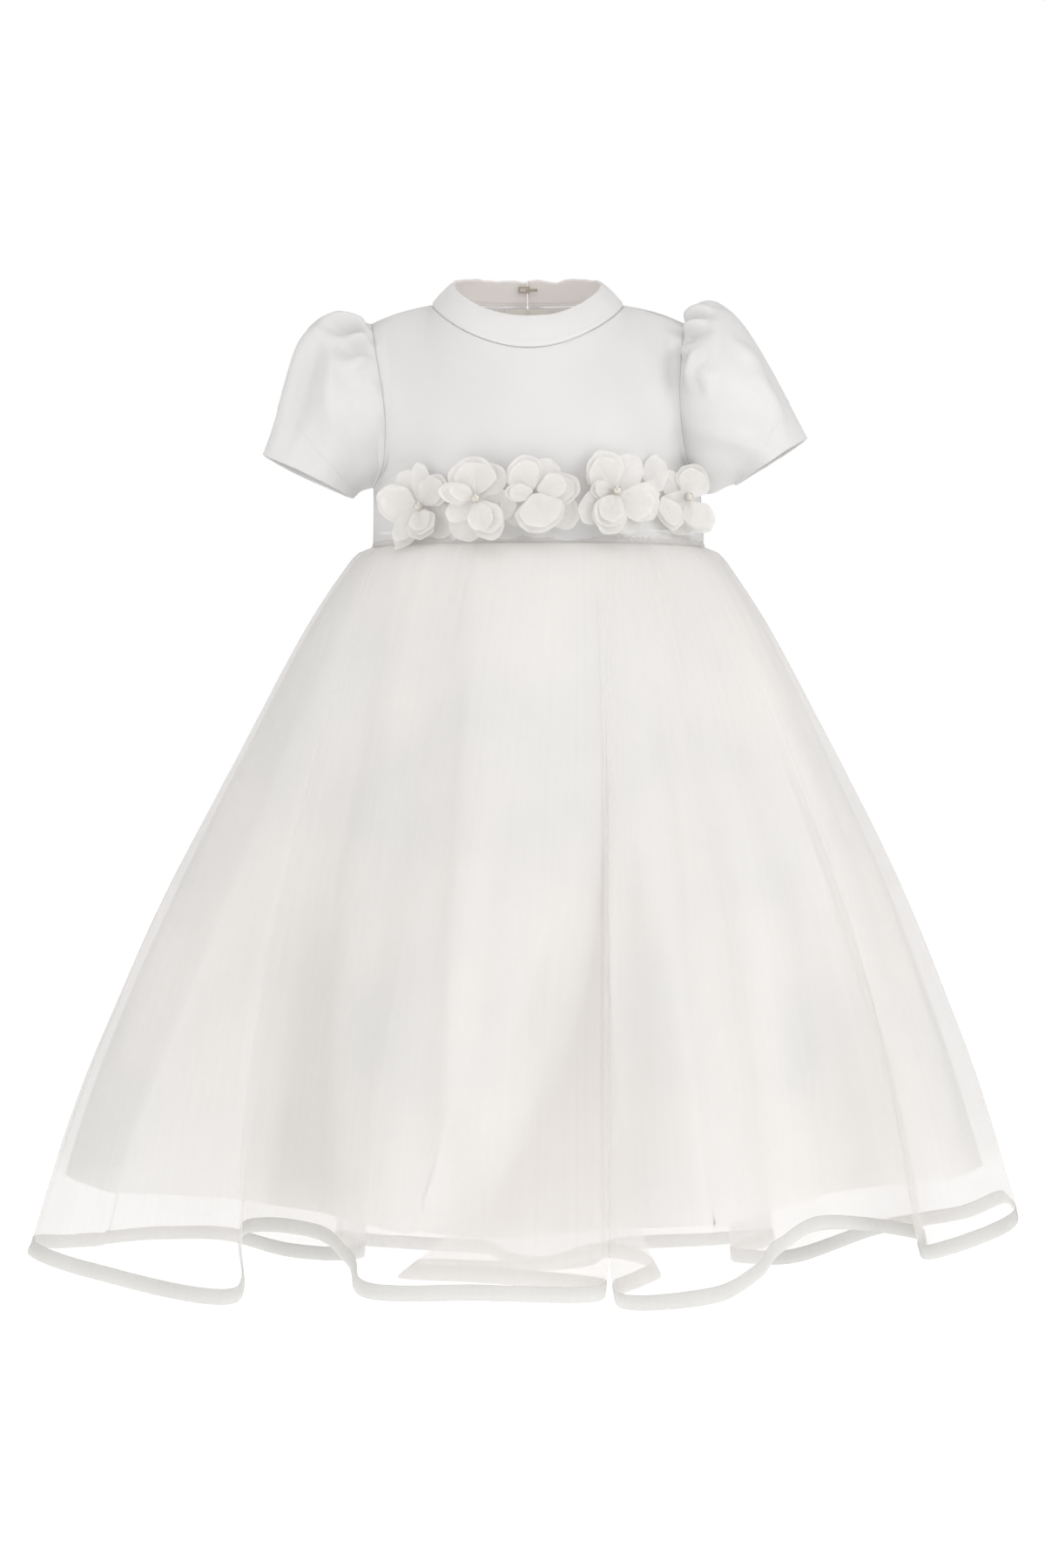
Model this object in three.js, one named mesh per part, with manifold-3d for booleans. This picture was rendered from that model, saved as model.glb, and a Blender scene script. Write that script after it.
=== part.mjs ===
// Flower girl dress, worn form with no wearer inside: satin bodice with a stand collar and puff sleeves,
// a satin underskirt, an organza overskirt with a bound hem, blossoms on the waist seam and a closed zip.
// Millimetres, +Z up. The front faces -Y. The origin lies midway between the shoulders, where they carry it.
import * as THREE from "three";
import { mergeVertices } from "three/addons/utils/BufferGeometryUtils.js";
import Module from "manifold-3d";

// ---------------------------------------------------------------- driving sizes
const SEAM_GAP = 0.3;
const SATIN_WALL = 1.6;
const SLEEVE_WALL = 1.3;
const LINING_WALL = 1.0;
const COLLAR_WALL = 2.0;
const ORGANZA_WALL = 1.1;
const UNDERSKIRT_WALL = 1.4;
const BINDING_WALL = 1.8;
const BINDING_HEIGHT = 3.2;
const BINDING_GAP = 0.8;
const PETAL_WALL = 1.0;

const WAIST = { drop: 139, halfWidth: 101, halfDepth: 79 };
const UNDERARM = { x: 103, drop: 103 };
const SHOULDER_POINT = { x: 99, z: 0 };

// Both edges of the stand collar: half width, front and back depth, front and back height, and how
// sharply the edge dips towards the front.
const COLLAR_BASE = { halfWidth: 60, front: 57, back: 50, frontZ: -19.7, backZ: 16, dip: 3 };
const COLLAR_TOP = { halfWidth: 46.5, front: 42, back: 45, frontZ: 0.7, backZ: 31.5, dip: 2.2 };
const COLLAR_OPENING = 1.2;

// How far the whole dress stands aside of the middle plane at each height.
const LEAN = [
  { z: 40, aside: -2 },
  { z: -20, aside: -1 },
  { z: -80, aside: 3 },
  { z: -139, aside: 5 },
  { z: -300, aside: 4 },
  { z: -450, aside: 1 },
  { z: -560, aside: 0 },
  { z: -640, aside: 0 },
];

// Armhole, from the underarm forward and up over the shoulder and down the back (x out from the middle).
const ARMHOLE = [
  { place: "underarm", x: UNDERARM.x, y: 0, z: -UNDERARM.drop },
  { place: "front low", x: 95, y: -29, z: -89 },
  { place: "front middle", x: 92.5, y: -37, z: -57 },
  { place: "front high", x: 96.5, y: -22, z: -17 },
  { place: "shoulder", x: SHOULDER_POINT.x, y: 0, z: SHOULDER_POINT.z },
  { place: "back high", x: 97, y: 24, z: -15 },
  { place: "back middle", x: 93, y: 40, z: -54 },
  { place: "back low", x: 95.5, y: 31, z: -88 },
];
const BODICE_SWELL = { front: 10, back: 7 };
const BODICE_EDGE = { bottom: 0.003, top: 0.994, side: 0.997 };
const BODICE_ROWS = 9;
const BODICE_COLUMNS = { front: 18, back: 8 };

// Sleeves: how far the cap rises and stands out from the armhole and how the cloth hangs above the cuff, as
// shares of the sleeve's length, and both ends of the cuff seen from the front.
const SLEEVES = [
  {
    side: -1, name: "sleeve_left", capRise: 0.18, capOut: 0.51, hangIn: 0.33, hangUp: 0.51,
    cuffOutX: 171, cuffOutZ: -83, cuffInX: 116, cuffInZ: -110,
  },
  {
    side: 1, name: "sleeve_right", capRise: 0.41, capOut: 0.26, hangIn: 0.2, hangUp: 0.31,
    cuffOutX: 172, cuffOutZ: -72, cuffInX: 126, cuffInZ: -101,
  },
];
const CUFF_HALF_DEPTH = 36;
const CUFF_FLARE = 0.12;
const CAP_GATHERS = { pitch: 24, reach: 66, height: 2.6, centre: 0.2, fade: 0.3 };

// Skirt profile: share of the skirt's length below the waist, and share of its spread reached there.
const SKIRT_PROFILE = [
  { down: 0, spread: 0 },
  { down: 0.03, spread: 0.085 },
  { down: 0.12, spread: 0.218 },
  { down: 0.27, spread: 0.389 },
  { down: 0.49, spread: 0.618 },
  { down: 0.64, spread: 0.753 },
  { down: 0.79, spread: 0.87 },
  { down: 1, spread: 1 },
];
const HEM_BASE = { left: 315, right: 306, front: 300, back: 262 };

// The overskirt, fold by fold, from the left side seam through the front to the right side seam and round the
// back. Turns are in degrees from the middle front, positive to +X: at the waist, at the hem, and, where a
// fold runs behind its neighbour, at the rest place of the hem that it was folded from. At its start, middle
// and end each fold has its reach from the axis and its drop below the shoulders at the hem.
const OVERSKIRT_FOLDS = [
  {
    fold: "lobe 1", waist: [-90, -74], hem: [-90, -35], rest: [-90, -45], reach: [317, 300, 297],
    drop: [584, 587, 590],
  },
  {
    fold: "recess 1", waist: [-67, -32], hem: [-48, -27.5], rest: [-42, -27.5], reach: [228, 212, 236],
    drop: [559, 560, 571],
  },
  { fold: "lobe 2", waist: [-25, 21.5], hem: [-18, 6.6], reach: [304, 312, 306], drop: [583, 582, 583] },
  {
    fold: "pleat left", waist: [22.2, 23.2], hem: [7.6, -16.5], rest: [7.6, 8], reach: [289, 265, 267],
    drop: [581, 577, 575],
  },
  {
    fold: "pleat floor", waist: [23.7, 25], hem: [-16, 12.5], rest: [8.2, 8.8], reach: [251, 241, 216],
    drop: [574, 575, 568],
  },
  {
    fold: "pleat right", waist: [25.5, 26.5], hem: [17.5, 9.6], rest: [9, 9.4], reach: [250, 268, 290],
    drop: [575, 579, 583],
  },
  { fold: "lobe 3", waist: [27.5, 42], hem: [9.8, 29], reach: [306, 310, 276], drop: [587, 586, 576] },
  {
    fold: "recess 3", waist: [48, 64], hem: [38, 62], rest: [38, 58], reach: [241, 230, 268],
    drop: [567, 557, 566],
  },
  {
    fold: "lobe 4", waist: [70, 90], hem: [55, 90], rest: [61, 90], reach: [286, 291, 307],
    drop: [573, 571, 566],
  },
  { fold: "lobe 5", waist: [95, 122], hem: [96, 126], reach: [308, 304, 286], drop: [557, 574, 590] },
  { fold: "recess 5", waist: [128, 140], hem: [124, 139], reach: [207, 193, 204], drop: [604, 605, 605] },
  { fold: "lobe 6", waist: [145, 166], hem: [141, 166], reach: [262, 265, 256], drop: [598, 604, 609] },
  { fold: "recess 6", waist: [172, 186], hem: [169, 184], reach: [202, 192, 202], drop: [614, 616, 614] },
  { fold: "lobe 7", waist: [192, 211], hem: [187, 210], reach: [254, 259, 262], drop: [611, 607, 602] },
  { fold: "recess 7", waist: [217, 230], hem: [213, 229], reach: [204, 195, 209], drop: [605, 605, 602] },
  { fold: "lobe 8", waist: [236, 252], hem: [227, 249], reach: [283, 294, 298], drop: [596, 592, 590] },
  { fold: "recess 8", waist: [257, 264], hem: [253, 262], reach: [288, 284, 296], drop: [588, 587, 586] },
];
// How the depth and the sideways run of a fold grow on the way down, as powers of the share of the length.
const FOLD_GROWTH = { inward: 1.05, sideways: 1.9 };
const COLUMNS_PER_SPAN = 2;
const OVERSKIRT_ROWS = [0, 0.02, 0.05, 0.1, 0.17, 0.25, 0.34, 0.44, 0.54, 0.64, 0.74, 0.83, 0.92, 1];

// Underskirt: its own flare and hem height at the four sides; inside the deepest overskirt folds it gives way.
const UNDERSKIRT = { left: 299, right: 286, front: 284, back: 240, inset: 3.5, clearance: 4, yielding: 0.2 };
const UNDERSKIRT_DROP = { left: 534, right: 530, front: 554, back: 570 };
const UNDERSKIRT_COLUMNS = 56;
const UNDERSKIRT_ROWS = [0, 0.04, 0.12, 0.24, 0.38, 0.54, 0.7, 0.86, 1];

// Blossoms on the bodice above the waist seam: turn from the middle front, height, and how far the middle
// stands off the satin.
const BLOSSOMS = [
  { name: "blossom_1", turn: -45, z: -119, stand: 2.6 },
  { name: "blossom_2", turn: -20.5, z: -115, stand: 6.4 },
  { name: "blossom_3", turn: -1, z: -110, stand: 2.6 },
  { name: "blossom_4", turn: 27.5, z: -111, stand: 5 },
  { name: "blossom_5", turn: 49, z: -111, stand: 2.4 },
  { name: "blossom_6", turn: 62, z: -114, stand: 6.2 },
];

// Petals: direction round the blossom (0 to the side, 90 up), length and width, and lift off the cloth.
const PETAL_SETS = [
  [
    { around: 180, length: 28, width: 16, lift: 4 },
    { around: 126, length: 27, width: 15, lift: 3 },
    { around: 92, length: 26, width: 12, lift: 8 },
    { around: 45, length: 24, width: 16, lift: 0 },
    { around: -60, length: 22, width: 18, lift: 22 },
    { around: -113, length: 26, width: 15, lift: 16 },
  ],
  [
    { around: 112, length: 24, width: 25, lift: 6 },
    { around: 47, length: 25, width: 15, lift: 3 },
    { around: 176, length: 22, width: 12, lift: 14 },
    { around: 214, length: 22, width: 11, lift: 9 },
    { around: -57, length: 26, width: 21, lift: 18 },
  ],
  [
    { around: 122, length: 22, width: 26, lift: 4 },
    { around: 55, length: 24, width: 16, lift: 8 },
    { around: 200, length: 15, width: 9, lift: 6 },
    { around: 5, length: 24, width: 18, lift: 4 },
    { around: -62, length: 27, width: 27, lift: 19 },
  ],
  [
    { around: 115, length: 28, width: 23, lift: 6 },
    { around: 62, length: 26, width: 19, lift: 2 },
    { around: -12, length: 24, width: 22, lift: 12 },
    { around: 205, length: 22, width: 14, lift: 6 },
    { around: 252, length: 27, width: 19, lift: 14 },
  ],
  [
    { around: 85, length: 19, width: 13, lift: 4 },
    { around: -70, length: 20, width: 12, lift: 16 },
  ],
  [
    { around: 66, length: 20, width: 21, lift: 6 },
    { around: 125, length: 19, width: 12, lift: 4 },
    { around: -50, length: 22, width: 18, lift: 16 },
    { around: -85, length: 24, width: 16, lift: 12 },
  ],
];
const PETAL_STATIONS = [0.05, 0.4, 0.76, 0.98];
const PETAL_ACROSS = [-1, 0, 1];
const PETAL_CUP = 0.3;
const BLOSSOM_HEART = { radius: 4, thickness: 2.4 };

// Centre-back zip: the slider sits under the collar with its pull tab hanging from a square bridge.
const ZIP = { halfShare: 0.12, tapeWall: 1, slack: 0.3, sliderUp: 0.93 };
const SLIDER = { width: 5, height: 8, thickness: 1.6, bridgeWidth: 1.4, bridgeOuter: 1.95, bridgeInner: 1.05 };
const PULL = { thickness: 0.9, barHeight: 1.1, halfTop: 2.2, halfEnd: 2.6, length: 16, slotHalf: 1, slotEnd: 4.2 };

// Hook and eye inside the collar's back ends.
const FASTENER = { up: 0.72, stand: 0.9 };
const EYE = { near: -1.6, far: 6, halfHeight: 2.2, holeNear: -0.4, holeFar: 4.6, holeHalf: 1, thickness: 0.8 };
const HOOK = { near: -2, far: -6.5, tip: 0.9, tipWidth: -0.8, thickness: 1.9, halfHeight: 0.8 };

// ---------------------------------------------------------------- small helpers
const wasm = await Module();
wasm.setup();

const vector = (x, y, z) => new THREE.Vector3(x, y, z);
const radians = THREE.MathUtils.degToRad;
const mix = THREE.MathUtils.lerp;
const clamp = THREE.MathUtils.clamp;

// Value of one column of a table at a place given in another column, along a smooth curve.
function lookUp(table, placeColumn, valueColumn, place) {
  const places = table.map((row) => row[placeColumn]);
  const rising = places[0] < places[places.length - 1];
  const last = table.length - 2;
  let index = 0;
  while (index < last && (rising ? place > places[index + 1] : place < places[index + 1])) index += 1;
  const slope = (k) => {
    const before = table[Math.max(k - 1, 0)];
    const after = table[Math.min(k + 1, last + 1)];
    return (after[valueColumn] - before[valueColumn]) / (after[placeColumn] - before[placeColumn]);
  };
  const start = table[index];
  const end = table[index + 1];
  const span = end[placeColumn] - start[placeColumn];
  const t = clamp((place - start[placeColumn]) / span, 0, 1);
  const rise = end[valueColumn] - start[valueColumn];
  const bendStart = slope(index) * span - rise;
  const bendEnd = rise - slope(index + 1) * span;
  return start[valueColumn] + rise * t + t * (1 - t) * (bendStart * (1 - t) + bendEnd * t);
}

const lean = (point) => point.setX(point.x + lookUp(LEAN, "z", "aside", point.z));

// A sheet is a grid of points, row by row, with a normal at each. A round sheet closes on itself.
function makeSheet(points, round) {
  const rowCount = points.length;
  const columnCount = points[0].length;
  const at = (i, j) => {
    const column = round ? (j + columnCount) % columnCount : clamp(j, 0, columnCount - 1);
    return points[clamp(i, 0, rowCount - 1)][column];
  };
  const direction = (before, here, after) => {
    const arriving = here.clone().sub(before).normalize();
    return after.clone().sub(here).normalize().add(arriving);
  };
  const normals = points.map((row, i) =>
    row.map((point, j) => {
      const across = direction(at(i, j - 1), point, at(i, j + 1));
      const down = direction(at(i - 1, j), point, at(i + 1, j));
      return down.cross(across).normalize();
    }),
  );
  return { points, normals, round };
}

const moveSheet = (sheet, distance) => ({
  ...sheet,
  points: sheet.points.map((row, i) => row.map((p, j) => p.clone().addScaledVector(sheet.normals[i][j], distance))),
});

// Part of a round sheet, its two cut edges drawn back by half a seam gap.
function cutSheet(sheet, fromColumn, toColumn) {
  const count = sheet.points[0].length;
  const take = (grid) =>
    grid.map((row) => Array.from({ length: toColumn - fromColumn + 1 }, (_, k) => row[(fromColumn + k) % count].clone()));
  const points = take(sheet.points);
  for (const row of points) {
    drawBack(row[0], row[1]);
    drawBack(row[row.length - 1], row[row.length - 2]);
  }
  return { points, normals: take(sheet.normals), round: false };
}

const pickRows = (sheet, from, to) => ({
  ...sheet,
  points: sheet.points.slice(from, to),
  normals: sheet.normals.slice(from, to),
});

function drawBack(edge, neighbour) {
  edge.addScaledVector(neighbour.clone().sub(edge).normalize(), SEAM_GAP / 2);
}

// Closed wall of even thickness on both sides of a sheet.
function wallGeometry(sheet, thickness) {
  const { points, normals, round } = sheet;
  const rowCount = points.length;
  const columnCount = points[0].length;
  const positions = [];
  for (const side of [1, -1]) {
    for (let i = 0; i < rowCount; i += 1) {
      for (let j = 0; j < columnCount; j += 1) {
        positions.push(...points[i][j].clone().addScaledVector(normals[i][j], (side * thickness) / 2).toArray());
      }
    }
  }
  const outer = (i, j) => i * columnCount + (j % columnCount);
  const inner = (i, j) => rowCount * columnCount + outer(i, j);
  const faces = [];
  const addQuad = (a, b, c, d) => faces.push(a, b, c, a, c, d);
  const spans = round ? columnCount : columnCount - 1;
  for (let j = 0; j < spans; j += 1) {
    for (let i = 0; i < rowCount - 1; i += 1) {
      addQuad(outer(i, j), outer(i + 1, j), outer(i + 1, j + 1), outer(i, j + 1));
      addQuad(inner(i, j), inner(i, j + 1), inner(i + 1, j + 1), inner(i + 1, j));
    }
    addQuad(outer(0, j), outer(0, j + 1), inner(0, j + 1), inner(0, j));
    addQuad(outer(rowCount - 1, j), inner(rowCount - 1, j), inner(rowCount - 1, j + 1), outer(rowCount - 1, j + 1));
  }
  if (!round) {
    const last = columnCount - 1;
    for (let i = 0; i < rowCount - 1; i += 1) {
      addQuad(outer(i, 0), inner(i, 0), inner(i + 1, 0), outer(i + 1, 0));
      addQuad(outer(i, last), outer(i + 1, last), inner(i + 1, last), inner(i, last));
    }
  }
  return solidGeometry(positions, faces);
}

// Triangles with their faces turned outward.
function solidGeometry(positions, faces) {
  const corner = (k) => vector(...positions.slice(3 * faces[k], 3 * faces[k] + 3));
  let volume = 0;
  for (let k = 0; k < faces.length; k += 3) {
    volume += corner(k).dot(corner(k + 1).cross(corner(k + 2)));
  }
  const turned = volume > 0 ? faces : faces.map((_, k) => faces[k - (k % 3) + (2 - (k % 3))]);
  const geometry = new THREE.BufferGeometry();
  geometry.setAttribute("position", new THREE.Float32BufferAttribute(positions, 3));
  geometry.setIndex(turned);
  return geometry;
}

function toManifold(geometry) {
  const plain = geometry.clone();
  plain.deleteAttribute("normal");
  plain.deleteAttribute("uv");
  const merged = mergeVertices(plain, 1e-4);
  return new wasm.Manifold(
    new wasm.Mesh({
      numProp: 3,
      vertProperties: new Float32Array(merged.attributes.position.array),
      triVerts: new Uint32Array(merged.index.array),
    }),
  );
}

function fuse(geometries) {
  const mesh = geometries.map(toManifold).reduce((whole, piece) => whole.add(piece)).getMesh();
  const geometry = new THREE.BufferGeometry();
  geometry.setAttribute("position", new THREE.BufferAttribute(new Float32Array(mesh.vertProperties), mesh.numProp));
  geometry.setIndex(new THREE.BufferAttribute(new Uint32Array(mesh.triVerts), 1));
  return geometry;
}

const cloth = (color, roughness) => new THREE.MeshStandardMaterial({ color, roughness, metalness: 0 });
const SATIN = cloth(0xf2f0ec, 0.45);
const LINING = cloth(0xf0e6e1, 0.6);
const ORGANZA = cloth(0xf4eeeb, 0.5);
const BINDING = cloth(0xe4e5e1, 0.4);
const PETALS = cloth(0xf6f4ef, 0.6);
const TAPE = cloth(0xf0eeea, 0.7);
const METAL = new THREE.MeshStandardMaterial({ color: 0xd9d9d6, roughness: 0.35, metalness: 0.8 });

const dress = new THREE.Group();

function addPiece(name, geometry, material, parent = dress) {
  const mesh = new THREE.Mesh(geometry, material);
  mesh.name = name;
  parent.add(mesh);
  return mesh;
}

const leanSheet = (sheet) => ({ ...sheet, points: sheet.points.map((row) => row.map((p) => lean(p.clone()))) });

// ---------------------------------------------------------------- collar
// Point of a collar edge at a turn from the middle front.
function collarEdge(edge, turn) {
  const angle = radians(turn);
  const dip = ((1 + Math.cos(angle)) / 2) ** edge.dip;
  const depth = Math.cos(angle) > 0 ? edge.front : edge.back;
  const z = mix(edge.backZ, edge.frontZ, dip);
  return vector(edge.halfWidth * Math.sin(angle), -depth * Math.cos(angle), z);
}

function makeCollar() {
  const columns = 48;
  const foot = 1.5;
  const halfOpening = THREE.MathUtils.radToDeg(COLLAR_OPENING / 2 / COLLAR_TOP.back);
  const points = [1, 0.66, 0.33, 0].map((up) =>
    Array.from({ length: columns + 1 }, (_, k) => {
      const turn = mix(-180 + halfOpening, 180 - halfOpening, k / columns);
      const base = collarEdge(COLLAR_BASE, turn);
      const top = collarEdge(COLLAR_TOP, turn);
      const slant = top.clone().sub(base);
      base.addScaledVector(slant, foot / slant.length());
      return base.lerp(top, up);
    }),
  );
  addPiece("collar", wallGeometry(leanSheet(makeSheet(points, false)), COLLAR_WALL), SATIN);
}

// ---------------------------------------------------------------- bodice
const armholeCurve = new THREE.CatmullRomCurve3(
  ARMHOLE.map((row) => vector(row.x, row.y, row.z)),
  true,
  "centripetal",
);

// Side edge of a bodice panel from the waist to the shoulder point, on the +X side; facing is -1 for the
// front and 1 for the back.
function bodiceSide(facing, up) {
  const underarmShare = 0.24;
  if (up < underarmShare) {
    const share = up / underarmShare;
    return vector(mix(WAIST.halfWidth, UNDERARM.x, share), 0, mix(-WAIST.drop, -UNDERARM.drop, share));
  }
  const share = (up - underarmShare) / (1 - underarmShare);
  return armholeCurve.getPoint(facing < 0 ? share / 2 : 1 - share / 2);
}

function bodiceBottom(facing, across) {
  const angle = radians(90 * across);
  return vector(WAIST.halfWidth * Math.sin(angle), facing * WAIST.halfDepth * Math.cos(angle), -WAIST.drop);
}

// Top edge: the neckline as far as the shoulder seam, then the shoulder seam.
function bodiceTop(facing, across) {
  const neckShare = 0.62;
  if (across < neckShare) {
    const turn = (90 * across) / neckShare;
    return collarEdge(COLLAR_BASE, facing < 0 ? turn : 180 - turn);
  }
  const neckSide = collarEdge(COLLAR_BASE, 90);
  const shoulder = vector(SHOULDER_POINT.x, 0, SHOULDER_POINT.z);
  const share = (across - neckShare) / (1 - neckShare);
  const arch = 1.5 * Math.sin(Math.PI * share);
  return neckSide.lerp(shoulder, share).add(vector(0, 0, arch));
}

// Point of half a bodice panel: across runs from the middle (0) to the side (1), up from waist to top.
function bodicePoint(facing, across, up) {
  const bottom = bodiceBottom(facing, across);
  const top = bodiceTop(facing, across);
  const side = bodiceSide(facing, up);
  const middle = bodiceBottom(facing, 0).lerp(bodiceTop(facing, 0), up);
  const point = bottom.lerp(top, up);
  point.addScaledVector(middle, 1 - across).addScaledVector(side, across);
  point.addScaledVector(bodiceBottom(facing, 0), -(1 - across) * (1 - up));
  point.addScaledVector(bodiceBottom(facing, 1), -across * (1 - up));
  point.addScaledVector(bodiceTop(facing, 0), -(1 - across) * up);
  point.addScaledVector(bodiceTop(facing, 1), -across * up);
  const swell = facing < 0 ? BODICE_SWELL.front : BODICE_SWELL.back;
  point.y += facing * swell * Math.sin(Math.PI * up) ** 0.9 * (1 - across ** 2);
  return point;
}

function bodiceSheet(facing, fromAcross, toAcross, columns) {
  const points = Array.from({ length: BODICE_ROWS + 1 }, (_, i) =>
    Array.from({ length: columns + 1 }, (_unused, j) => {
      const up = mix(BODICE_EDGE.top, BODICE_EDGE.bottom, i / BODICE_ROWS);
      const across = mix(fromAcross, toAcross, j / columns);
      const point = bodicePoint(facing, Math.abs(across), up);
      point.x *= Math.sign(across) || 1;
      return point;
    }),
  );
  return makeSheet(points, false);
}

// Distance from the middle of the satin to the middle of a layer inside it.
const liningDepth = SATIN_WALL / 2 + SEAM_GAP + LINING_WALL / 2;

function makeBodice() {
  const front = bodiceSheet(-1, -BODICE_EDGE.side, BODICE_EDGE.side, BODICE_COLUMNS.front);
  addPiece("bodice_front", wallGeometry(leanSheet(front), SATIN_WALL), SATIN);
  const middle = SEAM_GAP / WAIST.halfWidth;
  for (const [side, from, to] of [["left", -middle, -BODICE_EDGE.side], ["right", BODICE_EDGE.side, middle]]) {
    const back = bodiceSheet(1, from, to, BODICE_COLUMNS.back);
    addPiece(`bodice_back_${side}`, wallGeometry(leanSheet(back), SATIN_WALL), SATIN);
    const lining = moveSheet(back, -liningDepth);
    addPiece(`back_lining_${side}`, wallGeometry(leanSheet(lining), LINING_WALL), LINING);
  }
}

// ---------------------------------------------------------------- sleeves
function sleeveSheet(sleeve) {
  const centre = vector(0, 0, (SHOULDER_POINT.z - UNDERARM.drop) / 2);
  const turns = [];
  for (let turn = -96; turn < 96; turn += 6) turns.push(turn);
  for (let turn = 96; turn < 264; turn += 12) turns.push(turn);
  const cuffMiddle = vector((sleeve.cuffOutX + sleeve.cuffInX) / 2, 0, (sleeve.cuffOutZ + sleeve.cuffInZ) / 2);
  const cuffAcross = vector(sleeve.cuffOutX - cuffMiddle.x, 0, sleeve.cuffOutZ - cuffMiddle.z);
  const shares = [0, 0.08, 0.2, 0.34, 0.5, 0.66, 0.83, 1];
  const points = shares.map((share) =>
    turns.map((turn) => {
      const angle = radians(turn);
      const seam = armholeCurve.getPoint((0.5 - turn / 360 + 1) % 1);
      seam.x += 1.4;
      const cuff = cuffMiddle.clone().addScaledVector(cuffAcross, Math.cos(angle));
      cuff.y -= CUFF_HALF_DEPTH * Math.sin(angle);
      const radial = seam.clone().sub(centre).setX(0).normalize();
      const length = seam.distanceTo(cuff);
      const seamHandle = seam.clone().addScaledVector(radial, sleeve.capRise * length);
      seamHandle.x += sleeve.capOut * length;
      const cuffHandle = cuff.clone().addScaledVector(radial, CUFF_FLARE * length);
      cuffHandle.add(vector(-sleeve.hangIn * length, 0, sleeve.hangUp * length));
      const curve = new THREE.CubicBezierCurve3(seam, seamHandle, cuffHandle, cuff);
      const point = curve.getPoint(share);
      const wave = Math.cos(radians((turn * 360) / CAP_GATHERS.pitch));
      const onCap = Math.max(0, 1 - (turn / CAP_GATHERS.reach) ** 2);
      const along = Math.exp(-(((share - CAP_GATHERS.centre) / CAP_GATHERS.fade) ** 2)) * Math.min(1, share / 0.08);
      return point.addScaledVector(radial, CAP_GATHERS.height * wave * onCap * along);
    }),
  );
  for (const row of points) for (const point of row) point.x *= sleeve.side;
  return makeSheet(points, true);
}

function makeSleeves() {
  for (const sleeve of SLEEVES) {
    addPiece(sleeve.name, wallGeometry(leanSheet(sleeveSheet(sleeve)), SLEEVE_WALL), SATIN);
  }
}

// ---------------------------------------------------------------- overskirt
// Reach of an oval with its own size on each of the four sides.
function ovalReach(oval, turn) {
  const angle = radians(turn);
  const halfWidth = Math.sin(angle) < 0 ? oval.left : oval.right;
  const halfDepth = Math.cos(angle) > 0 ? oval.front : oval.back;
  return 1 / Math.hypot(Math.sin(angle) / halfWidth, Math.cos(angle) / halfDepth);
}

const WAIST_OVAL = { left: WAIST.halfWidth, right: WAIST.halfWidth, front: WAIST.halfDepth, back: WAIST.halfDepth };

const foldPoints = OVERSKIRT_FOLDS.flatMap((row) =>
  [0, 0.5, 1].map((share, k) => ({
    waistTurn: mix(row.waist[0], row.waist[1], share),
    hemTurn: mix(row.hem[0], row.hem[1], share),
    restTurn: row.rest ? mix(row.rest[0], row.rest[1], share) : mix(row.hem[0], row.hem[1], share),
    reach: row.reach[k],
    drop: row.drop[k],
  })),
);

const fromAxis = (turn, reach) => vector(reach * Math.sin(radians(turn)), -reach * Math.cos(radians(turn)), 0);

// Place of a fold's control point at a share of the way from the waist to the hem. It moves straight out to
// its rest place on the plain hem, and the fold's depth and sideways run are added as they grow.
function foldPlace(index, down) {
  const fold = foldPoints[index];
  const waist = fromAxis(fold.waistTurn, ovalReach(WAIST_OVAL, fold.waistTurn));
  const rest = fromAxis(fold.restTurn, ovalReach(HEM_BASE, fold.restTurn));
  const outward = fromAxis(fold.restTurn, 1);
  const folded = fromAxis(fold.hemTurn, fold.reach).sub(rest);
  const depth = folded.dot(outward);
  const sideways = folded.addScaledVector(outward, -depth);
  const place = waist.lerp(rest, lookUp(SKIRT_PROFILE, "down", "spread", down));
  place.addScaledVector(outward, depth * down ** FOLD_GROWTH.inward);
  place.addScaledVector(sideways, down ** FOLD_GROWTH.sideways);
  return place.setZ(-mix(WAIST.drop, fold.drop, down));
}

function overskirtRing(down) {
  const curve = new THREE.CatmullRomCurve3(foldPoints.map((_, k) => foldPlace(k, down)), true, "centripetal");
  const count = foldPoints.length * COLUMNS_PER_SPAN;
  return Array.from({ length: count }, (_, k) => curve.getPoint(k / count));
}

const rightSeamColumn = (OVERSKIRT_FOLDS.findIndex((row) => row.fold === "lobe 4") * 3 + 2) * COLUMNS_PER_SPAN;

function makeOverskirt() {
  const length = foldPoints[0].drop - WAIST.drop;
  const gap = BINDING_GAP / 2 / length;
  const bindingTop = 1 - BINDING_HEIGHT / length;
  const shares = [...OVERSKIRT_ROWS.map((down) => mix(gap, bindingTop - gap, down)), bindingTop + gap, 1];
  const whole = leanSheet(makeSheet(shares.map(overskirtRing), true));
  whole.normals[OVERSKIRT_ROWS.length - 1] = whole.normals[OVERSKIRT_ROWS.length];
  const skirt = pickRows(whole, 0, OVERSKIRT_ROWS.length);
  const binding = pickRows(whole, OVERSKIRT_ROWS.length, shares.length);
  const columnCount = whole.points[0].length;
  for (const [name, from, to] of [["front", 0, rightSeamColumn], ["back", rightSeamColumn, columnCount]]) {
    addPiece(`overskirt_${name}`, wallGeometry(cutSheet(skirt, from, to), ORGANZA_WALL), ORGANZA);
    addPiece(`hem_binding_${name}`, wallGeometry(cutSheet(binding, from, to), BINDING_WALL), BINDING);
  }
}

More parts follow.
